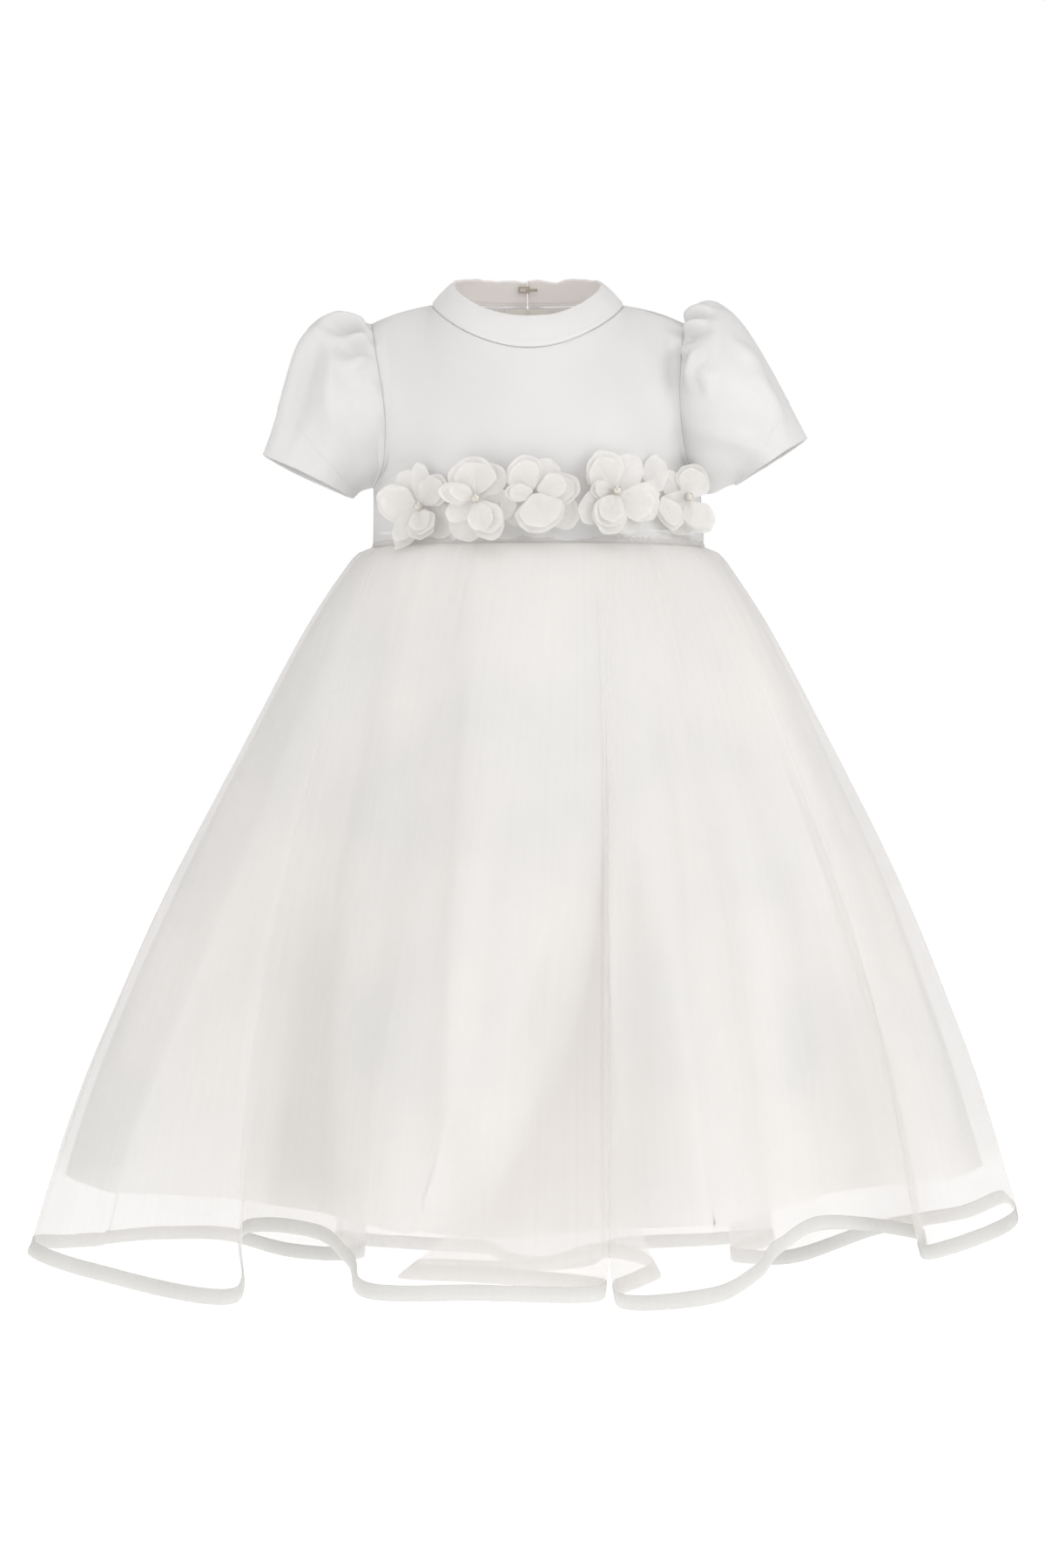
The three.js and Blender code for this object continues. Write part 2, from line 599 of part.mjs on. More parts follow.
// ---------------------------------------------------------------- underskirt
// Points of the overskirt where it crosses one height.
function overskirtSlice(z) {
  const places = foldPoints.map((fold, k) => foldPlace(k, clamp((-z - WAIST.drop) / (fold.drop - WAIST.drop), 0, 1)));
  const curve = new THREE.CatmullRomCurve3(places, true, "centripetal");
  const count = foldPoints.length * 4;
  return Array.from({ length: count }, (_, k) => {
    const point = curve.getPoint(k / count);
    return { turn: THREE.MathUtils.radToDeg(Math.atan2(point.x, -point.y)), reach: Math.hypot(point.x, point.y) };
  });
}

function underskirtPoint(turn, down) {
  const drop = ovalReach(UNDERSKIRT_DROP, turn);
  const z = -WAIST.drop - (drop - WAIST.drop) * down;
  const spread = lookUp(SKIRT_PROFILE, "down", "spread", down);
  const own = mix(ovalReach(WAIST_OVAL, turn) - UNDERSKIRT.inset, ovalReach(UNDERSKIRT, turn), spread);
  const room = overskirtSlice(z).reduce((least, place) => {
    const apart = Math.abs(((place.turn - turn + 540) % 360) - 180);
    const beyondColumn = Math.max(0, apart - 360 / UNDERSKIRT_COLUMNS);
    return Math.min(least, place.reach + UNDERSKIRT.yielding * beyondColumn ** 2);
  }, Infinity);
  const clearance = mix(UNDERSKIRT.inset, UNDERSKIRT.clearance, Math.min(1, down * 8));
  return fromAxis(turn, Math.min(own, room - clearance)).setZ(z);
}

function makeUnderskirt() {
  const rows = UNDERSKIRT_ROWS.map((down) =>
    Array.from({ length: UNDERSKIRT_COLUMNS }, (_, k) => {
      const point = underskirtPoint(-90 + (360 * k) / UNDERSKIRT_COLUMNS, down);
      return point.setZ(point.z - SEAM_GAP / 2);
    }),
  );
  const sheet = leanSheet(makeSheet(rows, true));
  const half = UNDERSKIRT_COLUMNS / 2;
  addPiece("underskirt_front", wallGeometry(cutSheet(sheet, 0, half), UNDERSKIRT_WALL), SATIN);
  addPiece("underskirt_back", wallGeometry(cutSheet(sheet, half, UNDERSKIRT_COLUMNS), UNDERSKIRT_WALL), SATIN);
}

// ---------------------------------------------------------------- blossoms
// Place on the bodice front at a turn and a height, with the directions sideways, up and off the cloth.
function bodicePlace(turn, z) {
  const across = Math.abs(turn) / 90;
  let low = 0;
  let high = 1;
  for (let step = 0; step < 30; step += 1) {
    const middle = (low + high) / 2;
    if (bodicePoint(-1, across, middle).z < z) low = middle;
    else high = middle;
  }
  const small = 0.02;
  const here = bodicePoint(-1, across, low);
  const upward = bodicePoint(-1, across, low + small).sub(here).normalize();
  const sideways = bodicePoint(-1, across + small, low).sub(here).normalize();
  if (turn < 0) {
    for (const item of [here, upward, sideways]) item.x *= -1;
    sideways.negate();
  }
  const off = sideways.clone().cross(upward).normalize();
  return { here: lean(here), sideways: upward.clone().cross(off).normalize(), upward, off };
}

function petalGeometry(frame, root, petal) {
  const angle = radians(petal.around);
  const lift = radians(petal.lift);
  const flatway = frame.sideways.clone().multiplyScalar(Math.cos(angle)).addScaledVector(frame.upward, Math.sin(angle));
  const along = flatway.clone().multiplyScalar(Math.cos(lift)).addScaledVector(frame.off, Math.sin(lift));
  const across = frame.off.clone().cross(flatway).normalize();
  const rise = along.clone().cross(across).negate().normalize();
  if (rise.dot(frame.off) < 0) rise.negate();
  const points = PETAL_STATIONS.map((share) =>
    PETAL_ACROSS.map((side) => {
      const half = (petal.width / 2) * Math.sin(Math.PI * share ** 0.8) ** 0.6;
      const point = root.clone().addScaledVector(along, petal.length * share).addScaledVector(across, half * side);
      return point.addScaledVector(rise, PETAL_CUP * half * side ** 2 - 1.2 * share ** 3);
    }),
  );
  return wallGeometry(makeSheet(points, false), PETAL_WALL);
}

function makeBlossoms() {
  BLOSSOMS.forEach((blossom, k) => {
    const frame = bodicePlace(blossom.turn, blossom.z);
    const root = frame.here.clone().addScaledVector(frame.off, blossom.stand + SATIN_WALL / 2);
    const heart = new THREE.CylinderGeometry(BLOSSOM_HEART.radius, BLOSSOM_HEART.radius, BLOSSOM_HEART.thickness, 8);
    heart.applyQuaternion(new THREE.Quaternion().setFromUnitVectors(vector(0, 1, 0), frame.off));
    heart.translate(...root.toArray());
    const petals = PETAL_SETS[k].map((petal) => petalGeometry(frame, root, petal));
    addPiece(blossom.name, fuse([heart, ...petals]), PETALS);
  });
}

// ---------------------------------------------------------------- closures at the centre back
// Group whose +Y stands out of the cloth at a point of the middle back plane.
function backGroup(point, above) {
  const tilt = Math.atan2(above.y - point.y, above.z - point.z);
  const group = new THREE.Group();
  group.position.copy(lean(point.clone()));
  group.rotation.x = -tilt;
  dress.add(group);
  return group;
}

function extrudeAlong(shape, depth) {
  const geometry = new THREE.ExtrudeGeometry(shape, { depth, bevelEnabled: false, curveSegments: 6 });
  return geometry.translate(0, 0, -depth / 2);
}

function boxPath(path, left, right, bottom, top) {
  path.moveTo(left, bottom).lineTo(right, bottom).lineTo(right, top).lineTo(left, top).closePath();
  return path;
}

function makeZip() {
  const depth = SATIN_WALL / 2 + LINING_WALL + ZIP.tapeWall / 2 + 2 * SEAM_GAP + ZIP.slack;
  const middle = pickRows(bodiceSheet(1, ZIP.halfShare, -ZIP.halfShare, 2), 0, BODICE_ROWS - 1);
  const tape = moveSheet(middle, -depth);
  addPiece("zip_tape", wallGeometry(leanSheet(tape), ZIP.tapeWall), TAPE);

  const seat = backGroup(bodicePoint(1, 0, ZIP.sliderUp), bodicePoint(1, 0, ZIP.sliderUp + 0.02));
  const plateFoot = SATIN_WALL / 2 + SEAM_GAP;
  const pivot = plateFoot + SLIDER.thickness + SLIDER.bridgeInner + 0.2;
  const plate = new THREE.BoxGeometry(SLIDER.width, SLIDER.thickness, SLIDER.height);
  plate.translate(0, plateFoot + SLIDER.thickness / 2, 0);
  const outer = SLIDER.bridgeOuter;
  const inner = SLIDER.bridgeInner;
  const bridgeShape = boxPath(new THREE.Shape(), -outer, outer, -outer, outer);
  bridgeShape.holes.push(boxPath(new THREE.Path(), -inner, inner, -inner, inner));
  const bridge = extrudeAlong(bridgeShape, SLIDER.bridgeWidth).rotateY(Math.PI / 2).translate(0, pivot, 0);
  addPiece("zip_slider", fuse([plate, bridge]), METAL, seat);

  const bar = PULL.barHeight / 2;
  const tabShape = new THREE.Shape();
  tabShape.moveTo(-PULL.halfTop, bar);
  tabShape.lineTo(-PULL.halfEnd, -PULL.length);
  tabShape.absarc(0, -PULL.length, PULL.halfEnd, Math.PI, 2 * Math.PI, false);
  tabShape.lineTo(PULL.halfTop, bar);
  tabShape.holes.push(boxPath(new THREE.Path(), -PULL.slotHalf, PULL.slotHalf, -PULL.slotEnd, -bar));
  const tab = extrudeAlong(tabShape, PULL.thickness).rotateX(Math.PI / 2).translate(0, pivot, 0);
  addPiece("zip_pull", tab, METAL, seat);
}

function makeHookAndEye() {
  const at = (up) => collarEdge(COLLAR_BASE, 180).lerp(collarEdge(COLLAR_TOP, 180), up);
  const seat = backGroup(at(FASTENER.up), at(FASTENER.up + 0.1));
  seat.rotation.order = "XYZ";
  seat.rotation.z = Math.PI;
  const foot = COLLAR_WALL / 2 + FASTENER.stand;
  const eyeShape = boxPath(new THREE.Shape(), EYE.near, EYE.far, -EYE.halfHeight, EYE.halfHeight);
  eyeShape.holes.push(boxPath(new THREE.Path(), EYE.holeNear, EYE.holeFar, -EYE.holeHalf, EYE.holeHalf));
  const eye = extrudeAlong(eyeShape, EYE.thickness).rotateX(Math.PI / 2).translate(0, foot + EYE.thickness / 2, 0);
  addPiece("collar_eye", eye, METAL, seat);

  const under = foot + EYE.thickness + SEAM_GAP;
  const over = foot + HOOK.thickness;
  const hookShape = new THREE.Shape();
  hookShape.moveTo(HOOK.near, foot).lineTo(HOOK.far, foot).lineTo(HOOK.far, over).lineTo(HOOK.tip, over);
  hookShape.lineTo(HOOK.tip, foot + SEAM_GAP).lineTo(HOOK.tip + HOOK.tipWidth, foot + SEAM_GAP);
  hookShape.lineTo(HOOK.tip + HOOK.tipWidth, under).lineTo(HOOK.near, under).closePath();
  addPiece("collar_hook", extrudeAlong(hookShape, 2 * HOOK.halfHeight), METAL, seat);
}

makeCollar();
makeBodice();
makeSleeves();
makeOverskirt();
makeUnderskirt();
makeBlossoms();
makeZip();
makeHookAndEye();

export default dress;
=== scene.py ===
"""Looks of a flower girl dress in satin and organza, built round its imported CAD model.

Shapes are worked out in millimetres and written to the meshes in metres, in the frame of the CAD model:
+Z up, the front to -Y, the origin midway between the shoulders. Left is -X, as seen from the front.
"""

import math

import bpy
import numpy as np
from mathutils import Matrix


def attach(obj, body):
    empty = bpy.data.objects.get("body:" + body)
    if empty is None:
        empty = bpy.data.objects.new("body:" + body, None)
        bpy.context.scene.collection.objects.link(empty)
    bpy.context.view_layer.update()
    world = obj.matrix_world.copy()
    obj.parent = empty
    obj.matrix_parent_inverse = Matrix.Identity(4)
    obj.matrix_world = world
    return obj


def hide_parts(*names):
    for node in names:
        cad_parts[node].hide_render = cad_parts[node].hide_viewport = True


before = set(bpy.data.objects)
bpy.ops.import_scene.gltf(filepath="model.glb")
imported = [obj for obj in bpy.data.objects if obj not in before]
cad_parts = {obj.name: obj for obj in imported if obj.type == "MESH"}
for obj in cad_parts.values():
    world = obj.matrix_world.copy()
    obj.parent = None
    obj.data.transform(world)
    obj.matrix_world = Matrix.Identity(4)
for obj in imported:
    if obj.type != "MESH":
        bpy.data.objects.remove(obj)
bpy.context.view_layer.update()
MM = 0.001


def named_rows(header, rows):
    """Rows as dicts keyed by the words of the header; a short row leaves out the last ones."""
    return [dict(zip(header.split(), row)) for row in rows]


# ---- driving sizes
SEAM_GAP = 0.3
SATIN_WALL = 0.9
SLEEVE_WALL = 0.8
COLLAR_WALL = 1.9
BINDING_WALL = 1.3
RIM_ROUNDNESS = 0.8
BINDING_HEIGHT = 3.2
WAIST = {"drop": 141, "half_width": 104, "half_depth": 79}
COLLAR_BASE = {"half_width": 60, "front": 57, "back": 50, "front_z": -19.7, "back_z": 16, "dip": 3}
COLLAR_TOP = {"half_width": 46.5, "front": 42, "back": 45, "front_z": 0.7, "back_z": 31.5, "dip": 2.2}
COLLAR_OPENING = 0.4
COLLAR_LIFT = 0.9
COLLAR_ROUND = 324
COLLAR_HEIGHT = 22

# Seam allowances turned inside: how far each runs past its seam, and how far in it lies.
TUCKS = {"sleeve": (5, 0.9), "overskirt": (4, 1.5), "underskirt": (9, 0.6)}

# How far the dress stands aside of the middle plane at each height.
LEAN = {"z": [40, -20, -80, -139, -300, -450, -560, -640], "aside": [-2, -1, 3, 5, 4, 1, 0, 0]}

# Armhole, from the underarm forward, over the shoulder and down the back.
ARMHOLE = np.array([
    (103, 0, -103), (95, -29, -89), (92.5, -37, -57), (96.5, -22, -17),
    (99, 0, 0), (97, 24, -15), (93, 40, -54), (95.5, 31, -88),
], float)
UNDERARM, SHOULDER = ARMHOLE[0], ARMHOLE[4]
BODICE_SWELL = {"front": 10, "back": 7}
BODICE_EDGE = {"bottom": 0.003, "top": 0.997, "side": 0.999}

# Sleeves: handles of the curve from the armhole to the cuff, as shares of its length, and the cuff's upper and
# lower points (x, z).
SLEEVES = named_rows("name side cap_rise cap_out cuff_hang cuff_out cuff_in seed", [
    ("left", -1, 0.18, 0.51, (-0.33, 0.51), (171, -83), (116, -110), 31),
    ("right", 1, 0.41, 0.26, (-0.2, 0.31), (172, -72), (126, -101), 32),
])
SLEEVE_LENGTH = 90
CUFF_FLARE = 0.12
CUFF_HALF_DEPTH = 36

SKIRT_PROFILE = {
    "down": [0, 0.006, 0.03, 0.12, 0.27, 0.49, 0.64, 0.79, 1],
    "spread": [0, 0.04, 0.085, 0.21, 0.377, 0.606, 0.741, 0.862, 1],
}
HEM_BASE = {"left": 315, "right": 306, "front": 300, "back": 262}
WAIST_OVAL = {"left": 104, "right": 104, "front": 79, "back": 79}

# The overskirt fold by fold, from the left side seam through the front and round the back: turns in degrees
# from the middle front at the waist and the hem, reach from the axis and drop of the hem at the start, middle
# and end of the fold. Where the hem is folded from another place, rest is that place's turns, and deepen and
# run say how late on the way down (as powers) the fold deepens and runs sideways.
OVERSKIRT_FOLDS = named_rows("fold waist hem reach drop rest deepen run", [
    ("lobe 1", (-90, -74), (-90, -35), (317, 300, 297), (584, 587, 590), (-90, -45)),
    ("recess 1", (-67, -32), (-48, -27.5), (228, 212, 236), (559, 560, 571), (-42, -27.5)),
    ("lobe 2", (-25, 24.2), (-18, 7.2), (304, 312, 306), (583, 582, 583)),
    ("pleat left", (25.2, 26.4), (7.9, -16.5), (300, 270, 267), (581, 577, 575), (7.9, 8.1), 3, 5),
    ("pleat floor", (27, 29.6), (-16, 12.5), (251, 241, 216), (574, 575, 568), (8.2, 8.8), 3, 5),
    ("pleat right", (30.2, 31.4), (17.5, 9.2), (250, 272, 300), (575, 579, 583), (8.9, 9.2), 3, 5),
    ("lobe 3", (32.4, 44), (9.5, 29), (306, 310, 276), (587, 586, 576)),
    ("recess 3", (48, 64), (38, 62), (241, 230, 268), (567, 557, 566), (38, 58)),
    ("lobe 4", (70, 90), (55, 90), (286, 291, 307), (573, 571, 566), (61, 90)),
    ("lobe 5", (95, 122), (96, 126), (308, 304, 286), (557, 574, 590)),
    ("recess 5", (128, 140), (124, 139), (207, 193, 204), (604, 605, 605)),
    ("lobe 6", (145, 166), (141, 166), (262, 265, 256), (598, 604, 609)),
    ("recess 6", (172, 186), (169, 184), (202, 192, 202), (614, 616, 614)),
    ("lobe 7", (192, 211), (187, 210), (254, 259, 262), (611, 607, 602)),
    ("recess 7", (217, 230), (213, 229), (204, 195, 209), (605, 605, 602)),
    ("lobe 8", (236, 252), (227, 249), (283, 294, 298), (596, 592, 590)),
    ("recess 8", (257, 264), (253, 262), (288, 284, 296), (588, 587, 586)),
])
FOLD_GROWTH = {"inward": 1.05, "sideways": 1.9}
# The pleat parts below the waist, and its two edges meet from there to just above the hem.
PLEAT_MEETING = {"down": [0, 0.04, 0.1, 0.2, 0.29, 0.45, 0.9, 0.965, 1],
                 "share": [0, 0.1, 0.3, 0.6, 0.8, 0.92, 0.985, 0.8, 0]}
UNDERSKIRT = {"left": 299, "right": 288, "front": 284, "back": 240}
UNDERSKIRT_DROP = {"left": 534, "right": 530, "front": 554, "back": 570}
# The underskirt hangs inside the overskirt: its inset at the waist, its clearance below, and how its room
# grows (yielding) with the turn beyond a free one from each fold.
UNDERSKIRT_CLOTH = {"round": 1800, "long": 400}
UNDERSKIRT_FIT = {"inset": 1.4, "clearance": 1.8, "yielding": 0.36, "free": 3}

# Soft troughs down the underskirt: turn at the waist and the hem, width in degrees, depth, and where it starts.
UNDERSKIRT_TROUGHS = named_rows("waist hem width depth start", [
    (-76, -70, 6, 5, 0.2), (-52, -41, 5, 11, 0), (-21, -15, 4, 8, 0), (-7, -8, 3.2, 5, 0.2),
    (4, 3, 3, 4, 0.3), (17, 13, 3.5, 5, 0.1), (31, 27, 4, 8, 0), (44, 40, 5, 7, 0.1), (60, 56, 4, 6, 0.2),
    (78, 73, 5, 6, 0.1), (104, 108, 6, 7, 0.1), (128, 133, 5, 6, 0), (152, 155, 6, 7, 0.2),
    (178, 180, 5, 6, 0.1), (203, 200, 6, 7, 0.1), (226, 224, 5, 6, 0), (248, 250, 6, 6, 0.2),
])


# ---- numbers
def look_up(table, places):
    """Second column of a table at places in the first, along a smooth curve."""
    at, values = (np.array(column, float) for column in table.values())
    if at[0] > at[-1]:
        at, values = at[::-1], values[::-1]
    places = np.clip(np.asarray(places, float), at[0], at[-1])
    before = np.clip(np.searchsorted(at, places, side="right") - 1, 0, len(at) - 2)
    low, high = np.maximum(np.arange(len(at)) - 1, 0), np.minimum(np.arange(len(at)) + 1, len(at) - 1)
    slope = (values[high] - values[low]) / (at[high] - at[low])
    span = at[before + 1] - at[before]
    t = (places - at[before]) / span
    rise = values[before + 1] - values[before]
    bend_start = slope[before] * span - rise
    bend_end = rise - slope[before + 1] * span
    return values[before] + rise * t + t * (1 - t) * (bend_start * (1 - t) + bend_end * t)


def lengths_of(vectors):
    return np.linalg.norm(vectors, axis=-1, keepdims=True)


def unit(vectors):
    return vectors / np.maximum(lengths_of(vectors), 1e-9)


def smooth_step(low, high, value):
    t = np.clip((value - low) / (high - low), 0, 1)
    return t * t * (3 - 2 * t)


def hump(distance, width):
    return np.exp(-((distance / width) ** 2))


def centripetal(p0, p1, p2, p3, w):
    """Centripetal Catmull-Rom point between p1 and p2 at share w."""
    def gap(a, b):
        return np.maximum(np.sqrt(lengths_of(b - a)), 1e-3)

    d0, d1, d2 = gap(p0, p1), gap(p1, p2), gap(p2, p3)
    start = ((p1 - p0) / d0 - (p2 - p0) / (d0 + d1) + (p2 - p1) / d1) * d1
    end = ((p2 - p1) / d1 - (p3 - p1) / (d1 + d2) + (p3 - p2) / d2) * d1
    return p1 + start * w + (3 * (p2 - p1) - 2 * start - end) * w**2 + (2 * (p1 - p2) + start + end) * w**3


def closed_point(points, share):
    """Point on the closed smooth curve through points, at shares of the way round."""
    place = np.mod(share, 1) * len(points)
    index = np.floor(place).astype(int)
    corners = [points[(index + step) % len(points)] for step in (-1, 0, 1, 2)]
    return centripetal(*corners, (place - index)[..., None])


def ripples(u, v, seed, lengths, heights, slant=0.25):
    """Seeded uneven waves, mostly across u, a few sines of each length."""
    random, count = np.random.default_rng(seed), 7
    total = np.zeros(np.broadcast(u, v).shape)
    for length, height in zip(lengths, heights):
        for _ in range(count):
            wave = 2 * math.pi / (length * random.uniform(0.7, 1.4))
            tilt = random.uniform(-slant, slant)
            drift = random.uniform(0.3, 1) * np.sin(v * wave * 0.2 + random.uniform(0, 6.28))
            total += height / count**0.5 * np.sin(wave * (u + tilt * v) + drift + random.uniform(0, 6.28))
    return total


def creases(u, v, rows):
    """Sum of soft troughs and ridges, each along a line from start to end on the cloth (u, v)."""
    total = np.zeros(np.broadcast(u, v).shape)
    for row in rows:
        (u0, v0), (u1, v1) = row["start"], row["end"]
        run = math.hypot(u1 - u0, v1 - v0)
        along = ((u - u0) * (u1 - u0) + (v - v0) * (v1 - v0)) / run**2
        aside = ((u - u0) * (v1 - v0) - (v - v0) * (u1 - u0)) / run
        bow = row.get("bow", 0) * 4 * along * (1 - along)
        width = row["width"] * (1 + row.get("widen", 0) * np.clip(along, 0, 1))
        fade = smooth_step(-row.get("fade", 0.3), 0.12, along) * (1 - smooth_step(0.35, 1.05, along))
        total += row["height"] * hump(aside - bow, width) * fade
    return total


# ---- sheets and walls
def lean(points):
    points = np.array(points, float)
    points[..., 0] += look_up(LEAN, points[..., 2])
    return points


def extended(points):
    """Grid with one more row at each end, straight on."""
    return np.concatenate([2 * points[:1] - points[1:2], points, 2 * points[-1:] - points[-2:-1]])


def grid_normals(points, closed=False):
    """Normal at each point of a grid (rows, columns, 3); a closed grid's columns run all round."""
    if closed:
        wide = np.concatenate([points[:, -1:], points, points[:, :1]], axis=1)
    else:
        wide = np.swapaxes(extended(np.swapaxes(points, 0, 1)), 0, 1)
    across = unit(wide[:, 2:] - wide[:, 1:-1]) + unit(wide[:, 1:-1] - wide[:, :-2])
    tall = extended(points)
    down = unit(tall[2:] - tall[1:-1]) + unit(tall[1:-1] - tall[:-2])
    return unit(np.cross(down, across))


def quads(rows, columns, closed, start=0):
    """Faces of a grid whose points are numbered row by row from start."""
    spans = columns if closed else columns - 1
    i, j = np.meshgrid(np.arange(rows - 1), np.arange(spans), indexing="ij")
    right = (j + 1) % columns
    corners = [i * columns + j, (i + 1) * columns + j, (i + 1) * columns + right, i * columns + right]
    return start + np.stack(corners, axis=-1).reshape(-1, 4)


def new_object(name, points, faces, uvs, material, smooth=True):
    """Mesh object from millimetre points and quad or triangle faces; uvs are one pair a point, in metres."""
    mesh = bpy.data.meshes.new(name)
    mesh.from_pydata((np.asarray(points).reshape(-1, 3) * MM).tolist(), [], [list(map(int, f)) for f in faces])
    layer = mesh.uv_layers.new(name="cloth")
    loops = np.empty(len(mesh.loops), dtype=np.int64)
    mesh.loops.foreach_get("vertex_index", loops)
    layer.data.foreach_set("uv", np.asarray(uvs, dtype=np.float32).reshape(-1, 2)[loops].ravel())
    mesh.polygons.foreach_set("use_smooth", [smooth] * len(mesh.polygons))
    mesh.materials.append(material)
    mesh.update()
    piece = bpy.data.objects.new(name, mesh)
    bpy.context.collection.objects.link(piece)
    return piece


def cloth_uvs(points):
    """Distances over the cloth in metres, across along the middle row and down each column."""
    middle = points[len(points) // 2]
    across = np.concatenate([[0], np.cumsum(np.linalg.norm(np.diff(middle, axis=0), axis=-1))])
    down = np.cumsum(np.linalg.norm(np.diff(points, axis=0), axis=-1), axis=0)
    down = np.concatenate([np.zeros((1, points.shape[1])), down])
    return np.stack([np.broadcast_to(across, down.shape), down], axis=-1) * MM


def sheet_object(name, points, material):
    """Single layer of cloth through a grid of points."""
    faces = quads(points.shape[0], points.shape[1], False)
    return new_object(name, points, faces, cloth_uvs(points), material)


def wall_object(name, points, thickness, material, closed=False, normals=None):
    """Two layers of cloth round a grid of points, closed by rounded rims."""
    rows, columns = points.shape[:2]
    normals = grid_normals(points, closed) if normals is None else normals
    half = np.asarray(thickness, float)[..., None] / 2
    outer, inner = points + normals * half, points - normals * half
    uvs = cloth_uvs(points)
    # One profile down the outside and up the inside, with a round rim at both ends.
    tall, reach = extended(points), np.max(half)
    rim_top, rim_bottom = (end + unit(beyond - end) * reach * RIM_ROUNDNESS
                           for end, beyond in ((points[:1], tall[:1]), (points[-1:], tall[-1:])))
    ring = np.concatenate([rim_top, outer, rim_bottom, inner[::-1]])
    ring_uv = np.concatenate([uvs[:1], uvs, uvs[-1:], uvs[::-1]])
    count = len(ring)
    faces = quads(count + 1, columns, closed) % (count * columns)
    if not closed:
        order = np.arange(rows)
        for column, way in ((0, -1), (columns - 1, 1)):
            out, back = (1 + order) * columns + column, (count - 1 - order) * columns + column
            side = np.stack([out[:-1], out[1:], back[1:], back[:-1]], axis=-1)
            faces = np.concatenate([faces, side[:, ::way]])
    return new_object(name, ring, faces, ring_uv, material)


def dress_piece(piece, node=None):
    """Hangs a piece on the dress's body and hides the CAD node it stands for."""
    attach(piece, "dress")
    if node:
        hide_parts(node)


# ---- materials
def new_material(name):
    """Empty material and its node tree."""
    material = bpy.data.materials.new(name)
    material.use_nodes = True
    material.node_tree.nodes.clear()
    return material, material.node_tree


def add_node(tree, kind, **inputs):
    """New node; each input (its name with _ for a space) is linked to a socket or set to a value."""
    node = tree.nodes.new(f"ShaderNode{kind}")
    for key, value in inputs.items():
        socket = node.inputs.get(key.replace("_", " "))
        if socket is None:
            setattr(node, key, value)
        elif isinstance(value, bpy.types.NodeSocket):
            tree.links.new(value, socket)
        else:
            socket.default_value = value
    return node


def mixed(tree, share, first, second):
    """Mix of two shader nodes; the share is a number or a socket."""
    mix = add_node(tree, "MixShader", Fac=share)
    tree.links.new(first.outputs[0], mix.inputs[1])
    tree.links.new(second.outputs[0], mix.inputs[2])
    return mix


def shaded(material, tree, shader):
    add_node(tree, "OutputMaterial", Surface=shader.outputs[0])
    return material


def cloth_colour(tree, dark, light, scale):
    """Colour that drifts softly between two close tones over the piece."""
    place = add_node(tree, "TexCoord").outputs["Object"]
    cloud = add_node(tree, "TexNoise", Vector=place, Scale=scale, Detail=3.0, Roughness=0.55)
    tones = add_node(tree, "ValToRGB", Fac=cloud.outputs["Fac"])
    for element, position, tone in zip(tones.color_ramp.elements, (0.3, 0.7), (dark, light)):
        element.position = position
        element.color = (*tone, 1)
    return tones.outputs["Color"]


def weave_bump(tree, pitch, depth, grain, grain_depth):
    """Bump of crossed threads at a pitch in metres, with a coarser grain of slubs over it."""
    uv = add_node(tree, "UVMap", uv_map="cloth").outputs["UV"]
    crossed = add_node(tree, "Math", operation="ADD")
    for number, direction in enumerate("XY"):
        threads = add_node(tree, "TexWave", Vector=uv, wave_type="BANDS", bands_direction=direction,
                           Scale=1 / pitch / 20, Distortion=0.6, Detail=1.0, Detail_Scale=3.0)
        tree.links.new(threads.outputs["Fac"], crossed.inputs[number])
    threads_bump = add_node(tree, "Bump", Height=crossed.outputs[0], Strength=depth, Distance=0.0002)
    slubs = add_node(tree, "TexNoise", Vector=uv, Scale=1 / grain, Detail=2.0)
    return add_node(tree, "Bump", Height=slubs.outputs["Fac"], Normal=threads_bump.outputs["Normal"],
                    Strength=grain_depth, Distance=0.0004).outputs["Normal"]


def satin_material(name, dark, light, roughness, glow, warm, pitch=0.0005):
    """Satin with a soft gloss; glow is the share of light that comes through each face, tinted warm."""
    material, tree = new_material(name)
    gloss = add_node(
        tree, "BsdfPrincipled", Base_Color=cloth_colour(tree, dark, light, 9.0), Roughness=roughness,
        Specular_IOR_Level=0.42, Sheen_Weight=0.1, Sheen_Roughness=0.45,
        Normal=weave_bump(tree, pitch, 0.1, 0.0016, 0.3))
    dim = tuple(0.97 * part for part in warm)
    through = add_node(tree, "BsdfTranslucent", Color=cloth_colour(tree, dim, warm, 12.0))
    return shaded(material, tree, mixed(tree, glow, gloss, through))


def thread_density(tree, across, along, cover, spread):
    """Uneven cover of fine threads, long down the cloth; across and along are the streaks a metre."""
    uv = add_node(tree, "UVMap", uv_map="cloth").outputs["UV"]
    stretch = add_node(tree, "Mapping", Vector=uv, Scale=(across, along, 1))
    streak = add_node(tree, "TexNoise", Vector=stretch.outputs[0], Scale=1.0, Detail=3.0, Roughness=0.6)
    return add_node(tree, "MapRange", Value=streak.outputs["Fac"], From_Min=0.25, From_Max=0.75,
                    To_Min=cover - spread, To_Max=cover + spread).outputs[0]


def sheer_material(name, dark, light, cover, spread, glow):
    """Sheer cloth: light passes between the threads, and the threads scatter it to both sides."""
    material, tree = new_material(name)
    colour = cloth_colour(tree, dark, light, 7.0)
    front = add_node(tree, "BsdfPrincipled", Base_Color=colour, Roughness=0.38, Specular_IOR_Level=0.35,
                     Normal=weave_bump(tree, 0.0006, 0.2, 0.002, 0.15))
    threads = mixed(tree, glow, front, add_node(tree, "BsdfTranslucent", Color=colour))
    density = thread_density(tree, 240.0, 5.0, cover, spread)
    return shaded(material, tree, mixed(tree, density, add_node(tree, "BsdfTransparent"), threads))


